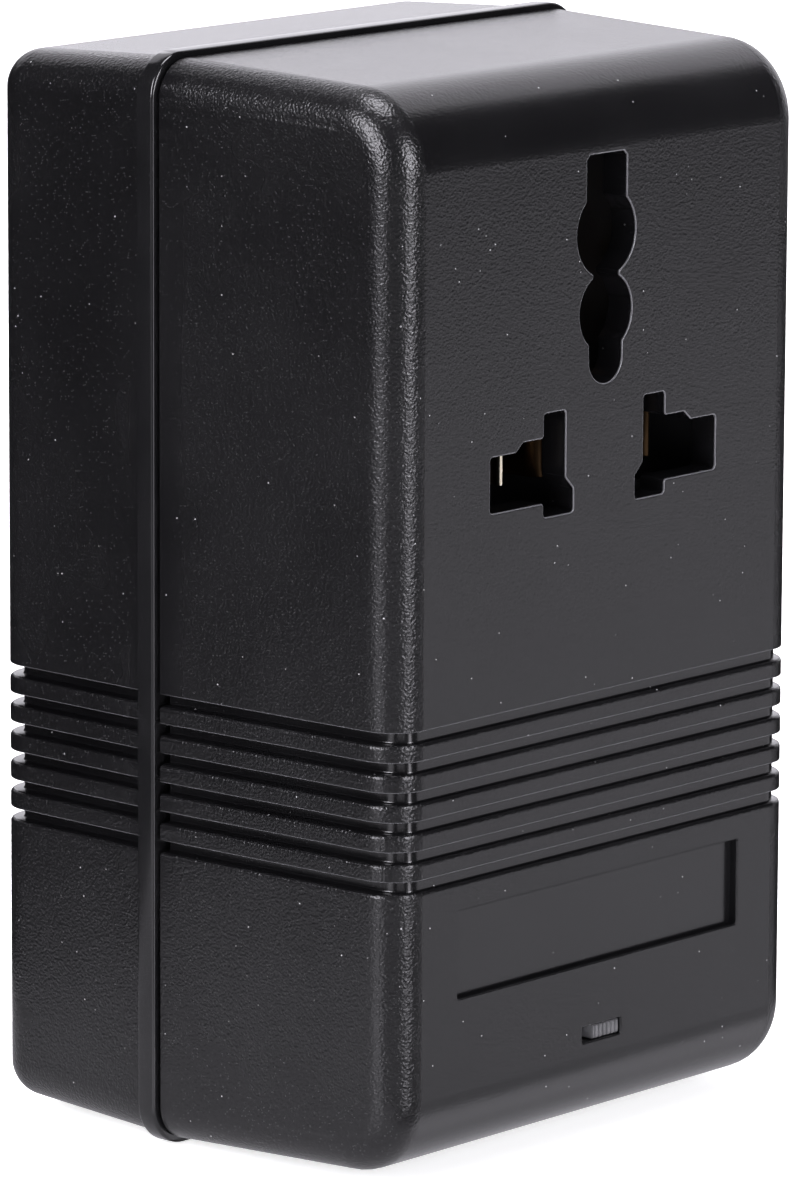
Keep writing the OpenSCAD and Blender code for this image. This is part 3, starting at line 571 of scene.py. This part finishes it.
rear_end = joined(rear_rim, rear_inside_rim)
rear = as_piece("rear_shell_skin", [*rear_blocks, *rear_inside_blocks, rear_end], plastic)
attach(rear, "case")
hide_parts("rear_shell")


# Rim band
# The rear shell's raised rim at the parting line, polished in the mould, with the tongue that locates the
# front shell. The front shell stops short of it and leaves a dark shadow gap all round.
band_proud = 0.5
band_edge = 0.27
band_root = 1.4
root_depth = 0.5
tongue_set = 2.95
tongue_t = 0.7
tongue_len = 2.4
least_corner = 0.3


def rim_loop(offset, steps=14):
    """Closed line round the case seen from the front, grown by an offset: four quarter circles, whose radius
    is the case's corner radius plus the offset, joined by straight sides."""
    turn = np.linspace(0, np.pi / 2, steps)
    radius = max(case_corner + offset, least_corner)
    half = joint_half + offset
    quarter = np.stack([np.cos(turn), np.sin(turn)], 1) * radius
    right_top = quarter + (half - radius, case_high + offset - radius)
    right_low = (quarter * (1, -1) + (half - radius, case_low - offset + radius))[::-1]
    right = np.concatenate([right_low, right_top])
    return np.concatenate([right, right[::-1] * (-1, 1)])


def rim_profile():
    """Closed cross-section of the band and tongue as offset and depth: rounded outer edges, a flat front down
    to the tongue, the tongue's tip, and a root inside the rear wall."""
    turn = np.linspace(0, np.pi / 2, 6)
    sine = band_edge * np.sin(turn)
    cosine = band_edge * np.cos(turn)
    outside = band_proud - band_edge
    y_root = y_band + root_depth
    y_tip = y_part - tongue_len
    offset = np.concatenate([outside + sine, outside + cosine, [-band_root, -band_root],
                             [-tongue_set - tongue_t] * 2, [-tongue_set] * 2])
    depth = np.concatenate([y_part + band_edge - cosine, y_band - band_edge + sine, [y_band, y_root],
                            [y_root, y_tip], [y_tip, y_part]])
    return offset, depth


def rim_gloss():
    """Polished black ABS: hardly any texture, soft waves from the mould and a few fine rubs."""
    material, tree, shader, place = new_finish("rim_gloss")
    wave = noise(tree, place, 130.0, 2.0)
    rubs = noise(tree, place, 2200.0, 3.0)
    colour = ramp(tree, wave, [(0.3, (0.0045, 0.0045, 0.0049)), (0.7, (0.0068, 0.0067, 0.0072))])
    link_finish(tree, shader, colour, spread(tree, wave, 0.12, 0.2), rubs, 0.08)
    return material


band_rings = [np.insert(rim_loop(offset), 1, depth, axis=1) for offset, depth in zip(*rim_profile())]
band_rings.append(band_rings[0])
band_faces = grid_quads(len(band_rings), len(band_rings[0]), closed=True)
band = as_piece("rim_band", [block((np.concatenate(band_rings), band_faces))], rim_gloss())
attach(band, "case")
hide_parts("rear_shell")


# Case screws
# Four zinc-plated pan-head screws with a cross recess, driven from the back down the deep counterbores
# into the front shell's posts.
head_h = 1.8
head_rim_h = 0.9
crown_drop = 0.5
shank_r = 1.25
screw_len = 15.0
tip_len = 0.9
tip_r = 0.3
cross_half = 0.32
cross_reach = 1.45
cross_depth = 1.0
cross_slope = 0.12


def capped(rings, wear_and_sheen=0.0):
    """Rows of closed rings as one skin, with a flat end over the first and the last. The lightening, partly
    scuffed metal and partly a painted highlight, is one number, or one for each ring."""
    count, columns = rings.shape[:2]
    ring_wear_sheen = np.broadcast_to(wear_and_sheen, count)
    end = np.arange(columns)[None, :]
    skin = (rings.reshape(-1, 3), grid_quads(count, columns, closed=True))
    return [block(skin, 0.0, np.repeat(ring_wear_sheen, columns)), block((rings[0], end), 0.0, ring_wear_sheen[0]),
            block((rings[-1], end), 0.0, ring_wear_sheen[-1])]


def pan_head(x, z):
    """Screw as a grid over radius and angle: a crowned head, lowered where either arm of the cross lies, a
    rounded rim, then the shank and its tip."""
    turn = np.linspace(0, 2 * np.pi, 96, endpoint=False)[None, :]
    crown = np.linspace(0.02, 1, 26)
    radius = np.concatenate([crown * head_r, [head_r, head_r, shank_r, shank_r, tip_r]])
    level = np.concatenate([head_h - crown_drop * crown ** 3,
                            [head_rim_h, 0, 0, -screw_len + tip_len, -screw_len]])
    along = radius[:, None] * np.cos(turn)
    over = radius[:, None] * np.sin(turn)
    arm = np.minimum(np.maximum(abs(along) - cross_reach, abs(over) - cross_half),
                     np.maximum(abs(over) - cross_reach, abs(along) - cross_half))
    on_crown = (np.arange(len(radius)) < len(crown))[:, None]
    sunk = cross_depth * np.clip(-arm / cross_slope, 0, 1) * on_crown
    return capped(np.stack([x + along, y_seat + level[:, None] - sunk, z + over], -1))


def plated_steel(name, colour, rough):
    """Plated steel: cloudy plating, darker in patches, and small pits."""
    material, tree, shader, place = new_finish(name)
    cloud = noise(tree, place, 700.0, 4.0)
    pits = noise(tree, place, 4200.0, 2.0)
    tint = ramp(tree, cloud, [(0.25, np.multiply(colour, 0.7)), (0.75, colour)])
    link_finish(tree, shader, tint, spread(tree, cloud, rough - 0.08, rough + 0.1), pits, 0.2)
    shader.inputs["Metallic"].default_value = 1.0
    return material


screw_steel = plated_steel("screw_steel", (0.50, 0.51, 0.53), 0.32)
screw_blocks = []
for level in screw_levels:
    screw_blocks += [*pan_head(-screw_x, level), *pan_head(screw_x, level)]
screws = as_piece("case_screw_set", screw_blocks, screw_steel, sharp=30)
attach(screws, "case")
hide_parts("case_screws")


# Socket contacts
# Each is one strip of brass, bent to two leaves with flared mouths round a back, with a solder tail behind.
# They stand in the carrier's pockets. The left one's outer leaf shows in its hole, its mouth painted light,
# partly scuffed metal and partly a painted highlight.
line_low, line_high = corners("line_contact")
earth_low, earth_high = corners("earth_contact")
strip_t = 0.6
strip_edge = 0.1
strip_bend = 0.5
leaf_low = socket_z - 1
leaf_high = socket_z + 4.4
leaf_flare = 0.45
flare_len = 1.4
mouth_len = 0.3
mouth_thinning = 0.6
pocket_back = y_panel + 9.7
tail_half = 1.2
tail_corner = 0.2
tail_root = 0.3
tail_bevel = 0.4
earth_tail_z = socket_z + 19.45


def stub(loop, offsets, depths):
    """Solid along Y: walls of a loop grown row by row, with a lid on both ends."""
    return [block(loop_walls(loop, offsets, depths)), block(lid(loop, offsets[0], depths[0])),
            block(lid(loop, offsets[-1], depths[-1]))]


def bent_strip(points, low, high, rub_and_sheen):
    """Strip on edge: a rounded rectangle, strip thickness by height, carried along a plan line with round
    bends. Each section stands square to the line, and both mouths thin out to an edge. The last mouth is
    painted lighter by the share given, partly scuffed metal and partly a painted highlight on its edge."""
    line = round_corners(points, strip_bend, 8, closed=False)
    step = np.gradient(line, axis=0)
    step /= np.linalg.norm(step, axis=1, keepdims=True)
    line = np.concatenate([line[:1], line[:1] + mouth_len * step[:1], line[1:-1],
                           line[-1:] - mouth_len * step[-1:], line[-1:]])
    step = np.concatenate([step[:1], step, step[-1:]])
    normal = np.stack([-step[:, 1], step[:, 0]], 1)
    mouth = np.zeros(len(line))
    mouth[[0, -1]] = 1
    bare_and_sheen = np.zeros(len(line))
    bare_and_sheen[-1] = rub_and_sheen
    section = round_box(0, (low + high) / 2, strip_t / 2, (high - low) / 2, strip_edge)
    thick = (1 - mouth_thinning * mouth)[:, None, None] * section[None, :, :1]
    plan = line[:, None] + normal[:, None] * thick
    return capped(np.dstack([plan, np.broadcast_to(section[:, 1], plan.shape[:2])]), bare_and_sheen)


def contact(name, inner, outer, y_mouth, low, high, flare, tail_x, tail_z, y_tail, rub_and_sheen):
    """Contact: leaves at two distances from the middle, a back between them and a straight solder tail."""
    y_bend = y_mouth + flare_len
    y_leaf = pocket_back - strip_t / 2
    leaves = bent_strip([(inner - flare, y_mouth), (inner, y_bend), (inner, y_leaf), (outer, y_leaf),
                         (outer, y_bend), (outer + flare, y_mouth)], low, high, rub_and_sheen)
    tail = stub(round_box(tail_x, tail_z, tail_half, tail_half, tail_corner), [-tail_root, 0, 0, -tail_bevel],
                [pocket_back - strip_t, pocket_back, y_tail - tail_bevel, y_tail])
    return as_piece(name, [*leaves, *tail], tarnish_and_shade, sharp=50)


def spring_brass(name, dark, light):
    """Rolled brass strip: lengthwise rolling lines, dull patches of tarnish and bright edges where the mesh
    marks them, partly scuffed metal and partly a painted highlight.
    """
    material, tree, shader, place = new_finish(name)
    stretched = node(tree, "Mapping", {"Vector": place, "Scale": (1, 0.06, 1)}).outputs[0]
    lines = noise(tree, stretched, 5200.0, 3.0)
    tarnish = noise(tree, place, 420.0, 4.0)
    skin = ramp(tree, tarnish, [(0.3, dark), (0.65, light)])
    # Marked edges painted light: partly scuffed metal, partly a painted highlight.
    colour = blended(tree, point_value(tree, "wear_and_sheen"), skin, (0.95, 0.86, 0.68, 1))
    link_finish(tree, shader, colour, spread(tree, tarnish, 0.42, 0.22), lines, 0.18)
    shader.inputs["Metallic"].default_value = 1.0
    return material


brass = spring_brass("contact_brass", (0.42, 0.25, 0.09), (0.78, 0.56, 0.24))
# Contact brass painted nearly black: partly tarnish, partly painted shade of the socket holes' depths.
tarnish_and_shade = spring_brass("tarnish_and_shade_brass", (0.05, 0.03, 0.015), (0.1, 0.06, 0.03))
leaf_near = -line_high[0] + strip_t / 2
leaf_far = -line_low[0] - strip_t / 2
leaf_middle = (leaf_near + leaf_far) / 2
# The left contact's mouth is painted light, partly scuffed metal and partly a painted highlight.
for side, name, rub_and_sheen in ((-1, "line_contact", 1.0), (1, "neutral_contact", 0.0)):
    strip = contact(name + "_strip", side * leaf_near, side * leaf_far, line_low[1], leaf_low, leaf_high,
                    side * leaf_flare, side * leaf_middle, socket_z, line_high[1], rub_and_sheen)
    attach(strip, "case")
    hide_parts(name)
earth_reach = earth_high[0] - strip_t / 2
earth = contact("earth_contact_strip", -earth_reach, earth_reach, earth_low[1], earth_low[2], earth_high[2],
                0, 0, earth_tail_z, earth_high[1], 0.0)
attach(earth, "case")
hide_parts("earth_contact")


# Voltage selector
# A grey nylon slider with a finely ribbed knob that stands in the panel's window. A fingernail or a blade
# moves it; its dark plate covers the window's other end.
slider_low, slider_high = corners("selector_knob")
slider_half = (slider_high[0] - slider_low[0]) / 2
slider_half_h = (slider_high[2] - slider_low[2]) / 2
slider_y0 = slider_low[1] + 3.3
knob_x = (slider_low[0] + slider_high[0]) / 2
knob_len = 3.4
knob_half_h = 0.6
knob_ribs = 6
knob_lap = 0.1
rib_depth = 0.26
edge_drop = 0.14
end_drop = 0.1
plate_corner = 0.4
plate_bevel = 0.2


def ribbed_knob():
    """Knob's face as a grid along its length and height: rounded ribs from a cosine's size along the length,
    eased down towards its four edges, with a skirt straight back to the slider."""
    along = np.concatenate([[-1, -1], np.linspace(-1, 1, 14 * knob_ribs + 7), [1, 1]])
    up = np.concatenate([[-1, -1], np.linspace(-1, 1, 13), [1, 1]])
    a, b = np.meshgrid(along, up, indexing="ij")
    rib = np.abs(np.cos(np.pi * (knob_ribs + 0.5) * (a + 1) / 2)) ** 0.7
    by_edge = np.clip(np.abs(b) * 4 - 3, 0, 1) ** 2
    by_end = np.clip(np.abs(a) * 12 - 11, 0, 1) ** 2
    depth = slider_low[1] + rib_depth * (1 - rib) + edge_drop * by_edge + end_drop * by_end
    depth[[0, -1], :] = slider_y0 + knob_lap
    depth[:, [0, -1]] = slider_y0 + knob_lap
    points = np.stack([knob_x + a * knob_len / 2, depth, window_z + b * knob_half_h], -1)
    rim = np.concatenate([points[:, 0], points[-1, 1:], points[-2::-1, -1], points[0, -2:0:-1]])
    return [block((points.reshape(-1, 3), grid_quads(*points.shape[:2]))),
            block((rim, np.arange(len(rim))[None, :]))]


def slider_nylon(name, dark, light):
    """Moulded plastic: faint flow marks between two shades, and a matt skin."""
    material, tree, shader, place = new_finish(name)
    flow = noise(tree, place, 900.0, 4.0)
    skin = noise(tree, place, 6500.0, 2.0)
    colour = ramp(tree, flow, [(0.3, dark), (0.7, light)])
    link_finish(tree, shader, colour, spread(tree, flow, 0.4, 0.55), skin, 0.15)
    return material


knob_grey = slider_nylon("knob_plastic", (0.065, 0.065, 0.068), (0.1, 0.1, 0.104))
knob = as_piece("selector_knob_ribs", ribbed_knob(), knob_grey, sharp=45)
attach(knob, "selector")
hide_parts("selector_knob")
slider_dark = slider_nylon("slider_dark", (0.02, 0.02, 0.02), (0.03, 0.03, 0.03))
plate_loop = round_box(knob_x, window_z, slider_half, slider_half_h, plate_corner)
plate_offsets = [-plate_bevel, 0, 0, -plate_bevel]
plate_depths = [slider_y0, slider_y0 + plate_bevel, slider_high[1] - plate_bevel, slider_high[1]]
slider = as_piece("selector_slider_plate", stub(plate_loop, plate_offsets, plate_depths), slider_dark)
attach(slider, "selector")
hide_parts("selector_knob")


# Mains inlet
# A black two-pole inlet pushed in from the back until its flange is flush. Its cavity is two round ends and a
# flat waist, with two nickel pins standing on its floor.
pin_low, pin_high = corners("inlet_pins")
pin_r = (pin_high[2] - pin_low[2]) / 2
pin_x = pin_high[0] - pin_r
pin_bevel = 0.2
y_flange = inlet_high[1]
y_inner_end = inlet_low[1]
flange_corner = 0.7
flange_edge = 0.25
flange_grain = 0.6
side_grain = 0.3
body_corner = 0.3
body_bevel = 0.3
cavity_r = 3.9
cavity_edge = 0.3
cavity_depth = 10.0
y_cavity = y_back - cavity_depth
waist_half = 3.2


def figure_eight():
    """Outline of the cavity: two arcs round the pins, cut off where the flat waist meets them."""
    stop = np.arcsin(waist_half / cavity_r)
    turn = np.linspace(-np.pi + stop, np.pi - stop, 48)
    right = np.stack([pin_x + cavity_r * np.cos(turn), cavity_r * np.sin(turn)], 1)
    return np.concatenate([right, -right]) + (0, inlet_z)


def turned_pin(x):
    """Round pin as a grid over length and angle: a tail, the shank and a tip that rounds off like a ball."""
    turn = np.linspace(0, 2 * np.pi, 40, endpoint=False)[None, :]
    tip = np.linspace(0, np.pi / 2, 10)[:-1]
    ball = pin_high[1] - pin_r * (1 - np.sin(tip))
    length = np.concatenate([[pin_low[1], pin_low[1] + pin_bevel, pin_high[1] - pin_r], ball])
    radius = np.concatenate([[pin_r - pin_bevel, pin_r, pin_r], pin_r * np.cos(tip)])
    return capped(np.stack([x + radius[:, None] * np.cos(turn), length[:, None] + 0 * turn,
                            inlet_z + radius[:, None] * np.sin(turn)], -1))


cavity = figure_eight()
flange = round_box(0, inlet_z, flange_half, flange_half_h, flange_corner)
body = round_box(0, inlet_z, flange_half - flange_lip, flange_half_h - flange_lip, body_corner)
flange_offsets, flange_depths = edge_rows(flange_edge, y_flange, -1)
cavity_offsets, cavity_depths = edge_rows(cavity_edge, y_flange, -1)
flange_face = flat_fill(grown(flange, -flange_offsets[0]), [grown(cavity, cavity_offsets[0])], y_flange)
body_depths = [y_shelf, y_inner_end + body_bevel, y_inner_end]
housing_blocks = [
    block(flange_face, flange_grain),
    block(loop_walls(flange, [*-flange_offsets, 0], [*flange_depths, y_shelf]), side_grain),
    block(loop_walls(cavity, [*cavity_offsets, 0], [*cavity_depths, y_cavity])),
    block(lid(cavity, 0, y_cavity), side_grain),
    block(flat_fill(flange, [body], y_shelf)),
    block(loop_walls(body, [0, 0, -body_bevel], body_depths)),
    block(lid(body, -body_bevel, y_inner_end))]
housing = as_piece("inlet_housing_shell", housing_blocks, plastic)
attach(housing, "case")
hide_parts("inlet_housing")
pin_nickel = plated_steel("pin_nickel", (0.66, 0.64, 0.60), 0.22)
pins = as_piece("inlet_pin_pair", [*turned_pin(-pin_x), *turned_pin(pin_x)], pin_nickel)
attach(pins, "case")
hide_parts("inlet_pins")


# Pieces inside the case
# The carrier, switch, transformer, cut-out and leads keep their CAD shapes, sealed behind the shells.
# Each takes a finish of its own: laminations and windings show their layers, plastics and steels a skin.
def layered(name, dark, light, spacing, axis, rough, metal):
    """Stacked or wound finish: bands across one axis, a spacing apart in millimetres, broken up by noise, for
    the edges of laminations, turns of wire or laps of tape."""
    material, tree, shader, place = new_finish(name)
    unit_period = 0.314
    wave = {"Vector": place, "Scale": unit_period / (spacing * MM), "Distortion": 0.6, "Detail": 2.0}
    band = node(tree, "TexWave", wave, bands_direction=axis).outputs["Fac"]
    patch = noise(tree, place, 300.0, 3.0)
    both = node(tree, "Mix", {"Factor": 0.4, "A": band, "B": patch}).outputs["Result"]
    colour = ramp(tree, both, [(0.2, dark), (0.8, light)])
    link_finish(tree, shader, colour, spread(tree, patch, rough - 0.1, rough + 0.1), band, 0.5, 0.00008)
    shader.inputs["Metallic"].default_value = metal
    return material


core_steel = layered("core_steel", (0.05, 0.05, 0.06), (0.3, 0.3, 0.32), 0.5, "Y", 0.5, 1.0)
winding_copper = layered("winding_copper", (0.22, 0.06, 0.02), (0.62, 0.26, 0.1), 0.3, "Z", 0.3, 1.0)
inside_finishes = {
    ("contact_carrier",): slider_nylon("carrier_black", (0.009, 0.009, 0.010), (0.014, 0.014, 0.015)),
    ("carrier_screws", "selector_screws"): screw_steel,
    ("selector_frame", "core_clip"): plated_steel("switch_steel", (0.42, 0.43, 0.45), 0.4),
    ("selector_base",): slider_nylon("switch_board", (0.16, 0.08, 0.03), (0.24, 0.13, 0.05)),
    ("selector_terminals", "selector_bridges"): brass,
    ("bobbin_pins",): pin_nickel,
    ("core_e_stack", "core_i_stack"): core_steel,
    ("bobbin",): slider_nylon("bobbin_nylon", (0.62, 0.59, 0.50), (0.75, 0.72, 0.64)),
    ("input_winding", "output_winding"): winding_copper,
    ("winding_tape",): layered("winding_tape", (0.55, 0.36, 0.05), (0.68, 0.48, 0.1), 6.0, "Z", 0.35, 0.0),
    ("thermal_fuse",): slider_nylon("fuse_body", (0.55, 0.52, 0.47), (0.70, 0.67, 0.62)),
    ("inlet_leads",): slider_nylon("lead_red", (0.25, 0.03, 0.02), (0.33, 0.05, 0.03)),
    ("output_leads",): slider_nylon("lead_blue", (0.03, 0.07, 0.25), (0.05, 0.10, 0.33)),
    ("selector_leads",): slider_nylon("lead_black", (0.012, 0.012, 0.013), (0.02, 0.02, 0.02)),
}
for names, finish in inside_finishes.items():
    for name in names:
        kept = bpy.data.objects[name]
        kept.data.materials.clear()
        kept.data.materials.append(finish)


# Studio lights
# Soft boxes round the part, placed in metres. Low and high strips to the left and in front draw the upright
# corner's two highlights. The right and corner boxes are mirrored in the front and the side, the wall and
# the box behind in the top, and a light table glows on the lowest edges.
def softbox(name, place, target, width, height, radiance, glossy=True, lean=0):
    """Rectangular light turned to its target and leaning to its left by an angle in degrees, its power worked
    out from the radiance that its face shows."""
    light = bpy.data.lights.new(name, "AREA")
    light.shape = "RECTANGLE"
    light.size = width
    light.size_y = height
    light.energy = radiance * np.pi * width * height
    light.color = (0.95, 0.93, 1.0)
    lamp = bpy.data.objects.new(name, light)
    away = np.subtract(place, target)
    away = away / np.linalg.norm(away)
    right = np.cross((0, 0, 1), away) if abs(away[2]) < 0.99 else np.array([1.0, 0, 0])
    right = right / np.linalg.norm(right)
    lean = np.radians(lean)
    right = right * np.cos(lean) + np.cross(away, right) * np.sin(lean)
    up = np.cross(away, right)
    turned = np.stack([right, up, away, place], 1)
    lamp.matrix_world = Matrix(np.vstack([turned, (0, 0, 0, 1)]).tolist())
    lamp.visible_camera = False
    lamp.visible_glossy = glossy
    bpy.context.scene.collection.objects.link(lamp)


middle = (0, 0, 0.045)
softbox("overhead_fill", (0, 0, 1.6), (0, 0, 0), width=2.6, height=2.6, radiance=1.3, glossy=False)
softbox("key_box", (0.02, 0.05, 0.9), (0.02, 0.05, 0), width=0.4, height=0.4, radiance=12.0)
softbox("left_strip_low", (-0.848, -0.059, -0.22), (0, 0, -0.22), width=0.28, height=0.56, radiance=1.6)
softbox("left_strip_high", (-0.774, 0.07, 0.39), middle, width=0.26, height=0.6, radiance=17.0, lean=32)
softbox("front_strip_low", (-0.074, -0.847, -0.09), (0, 0, -0.09), width=0.18, height=0.3, radiance=5.8)
softbox("front_strip_high", (-0.04, -0.85, 0.33), (0, 0, 0.33), width=0.18, height=0.5, radiance=22.0)
softbox("right_box", (0.8, -0.605, -0.165), (0, 0, -0.165), width=0.65, height=0.23, radiance=1.0)
softbox("right_low_box", (0.8, -0.605, -0.68), (0, 0, -0.68), width=0.65, height=0.8, radiance=0.55)
softbox("corner_box", (-0.62, -0.62, -0.3), (0, 0, -0.3), width=0.5, height=0.36, radiance=0.9)
softbox("back_wall", (0.95, 0.6, 0.55), (0, 0.6, 0.55), width=1.5, height=1.06, radiance=1.55)
softbox("rear_box", (0.5, 1.1, 0.9), (0.5, 0, 0.9), width=0.9, height=0.9, radiance=1.45)
softbox("light_table", (-0.05, 0.015, 0.0004), (-0.05, 0.015, 1), width=0.2, height=0.09, radiance=0.7)
world = bpy.data.worlds.new("studio_dark")
world.use_nodes = True
world.node_tree.nodes["Background"].inputs["Color"].default_value = (1, 1, 1, 1)
world.node_tree.nodes["Background"].inputs["Strength"].default_value = 0.015
bpy.context.scene.world = world
bpy.context.scene.view_settings.view_transform = "Standard"


# Paper floor and backdrop
# White paper lit from below, flat under the part and swept up to a round wall well away from it. The part
# mirrors neither, and the wall gives it no light.
floor_half = 3.0
sweep_start = 2500.0
sweep_r = 900.0
wall_top = 3500.0


def paper_sweep():
    """Round wall: a quarter circle up from the floor and an upright above it, carried round a full turn."""
    bend = np.linspace(0, np.pi / 2, 16)
    turn = np.linspace(0, 2 * np.pi, 72, endpoint=False)
    out = np.append(sweep_start + sweep_r * np.sin(bend), sweep_start + sweep_r)[:, None]
    up = np.append(sweep_r * (1 - np.cos(bend)), wall_top)[:, None]
    points = np.stack([out * np.cos(turn), out * np.sin(turn), up + 0 * turn], -1)
    return [block((points.reshape(-1, 3), grid_quads(*points.shape[:2], closed=True)))]


paper, paper_tree, paper_shader, paper_place = new_finish("floor_paper")
fibre = noise(paper_tree, paper_place, 90.0, 5.0)
paper_white = ramp(paper_tree, fibre, [(0.3, (0.88, 0.88, 0.88)), (0.7, (0.90, 0.90, 0.90))])
paper_tree.links.new(paper_white, paper_shader.inputs["Base Color"])
paper_shader.inputs["Roughness"].default_value = 0.9
paper_shader.inputs["Emission Color"].default_value = (1, 1, 1, 1)
paper_shader.inputs["Emission Strength"].default_value = 0.7
paper_shader.inputs["Specular IOR Level"].default_value = 0.1
floor_mesh = bpy.data.meshes.new("floor")
floor_points = np.array([(-1, -1, 0), (1, -1, 0), (1, 1, 0), (-1, 1, 0)]) * floor_half
floor_mesh.from_pydata(floor_points, [], [(0, 1, 2, 3)])
floor_mesh.materials.append(paper)
floor = bpy.data.objects.new("floor", floor_mesh)
bpy.context.scene.collection.objects.link(floor)
floor.visible_glossy = False
floor.visible_shadow = False
backdrop = as_piece("backdrop", paper_sweep(), paper)
backdrop.visible_diffuse = False
backdrop.visible_glossy = False
backdrop.visible_shadow = False


# Camera
# Stands where the photograph was taken from, to the left of the front and a little above, about 0.66 m away
# with a long lens. Its place and angles were fitted to the case's edges.
yaw, pitch, roll = np.radians((48.578, 11.126, -0.267))
forward = np.array([np.sin(yaw) * np.cos(pitch), np.cos(yaw) * np.cos(pitch), -np.sin(pitch)])
level_right = np.array([np.cos(yaw), -np.sin(yaw), 0])
level_down = np.cross(forward, level_right)
camera_right = np.cos(roll) * level_right + np.sin(roll) * level_down
camera_up = np.sin(roll) * level_right - np.cos(roll) * level_down
camera_place = np.array([-489.015, -431.851, 172.204]) * MM
camera = bpy.data.cameras.new("photo_camera")
camera.sensor_fit = "VERTICAL"
camera.sensor_height = 36.0
camera.lens = 232.87
camera.clip_start = 0.01
photo_camera = bpy.data.objects.new("photo_camera", camera)
camera_axes = np.stack([camera_right, camera_up, -forward, camera_place], 1)
photo_camera.matrix_world = Matrix(np.vstack([camera_axes, (0, 0, 0, 1)]).tolist())
bpy.context.scene.collection.objects.link(photo_camera)
bpy.context.scene.camera = photo_camera
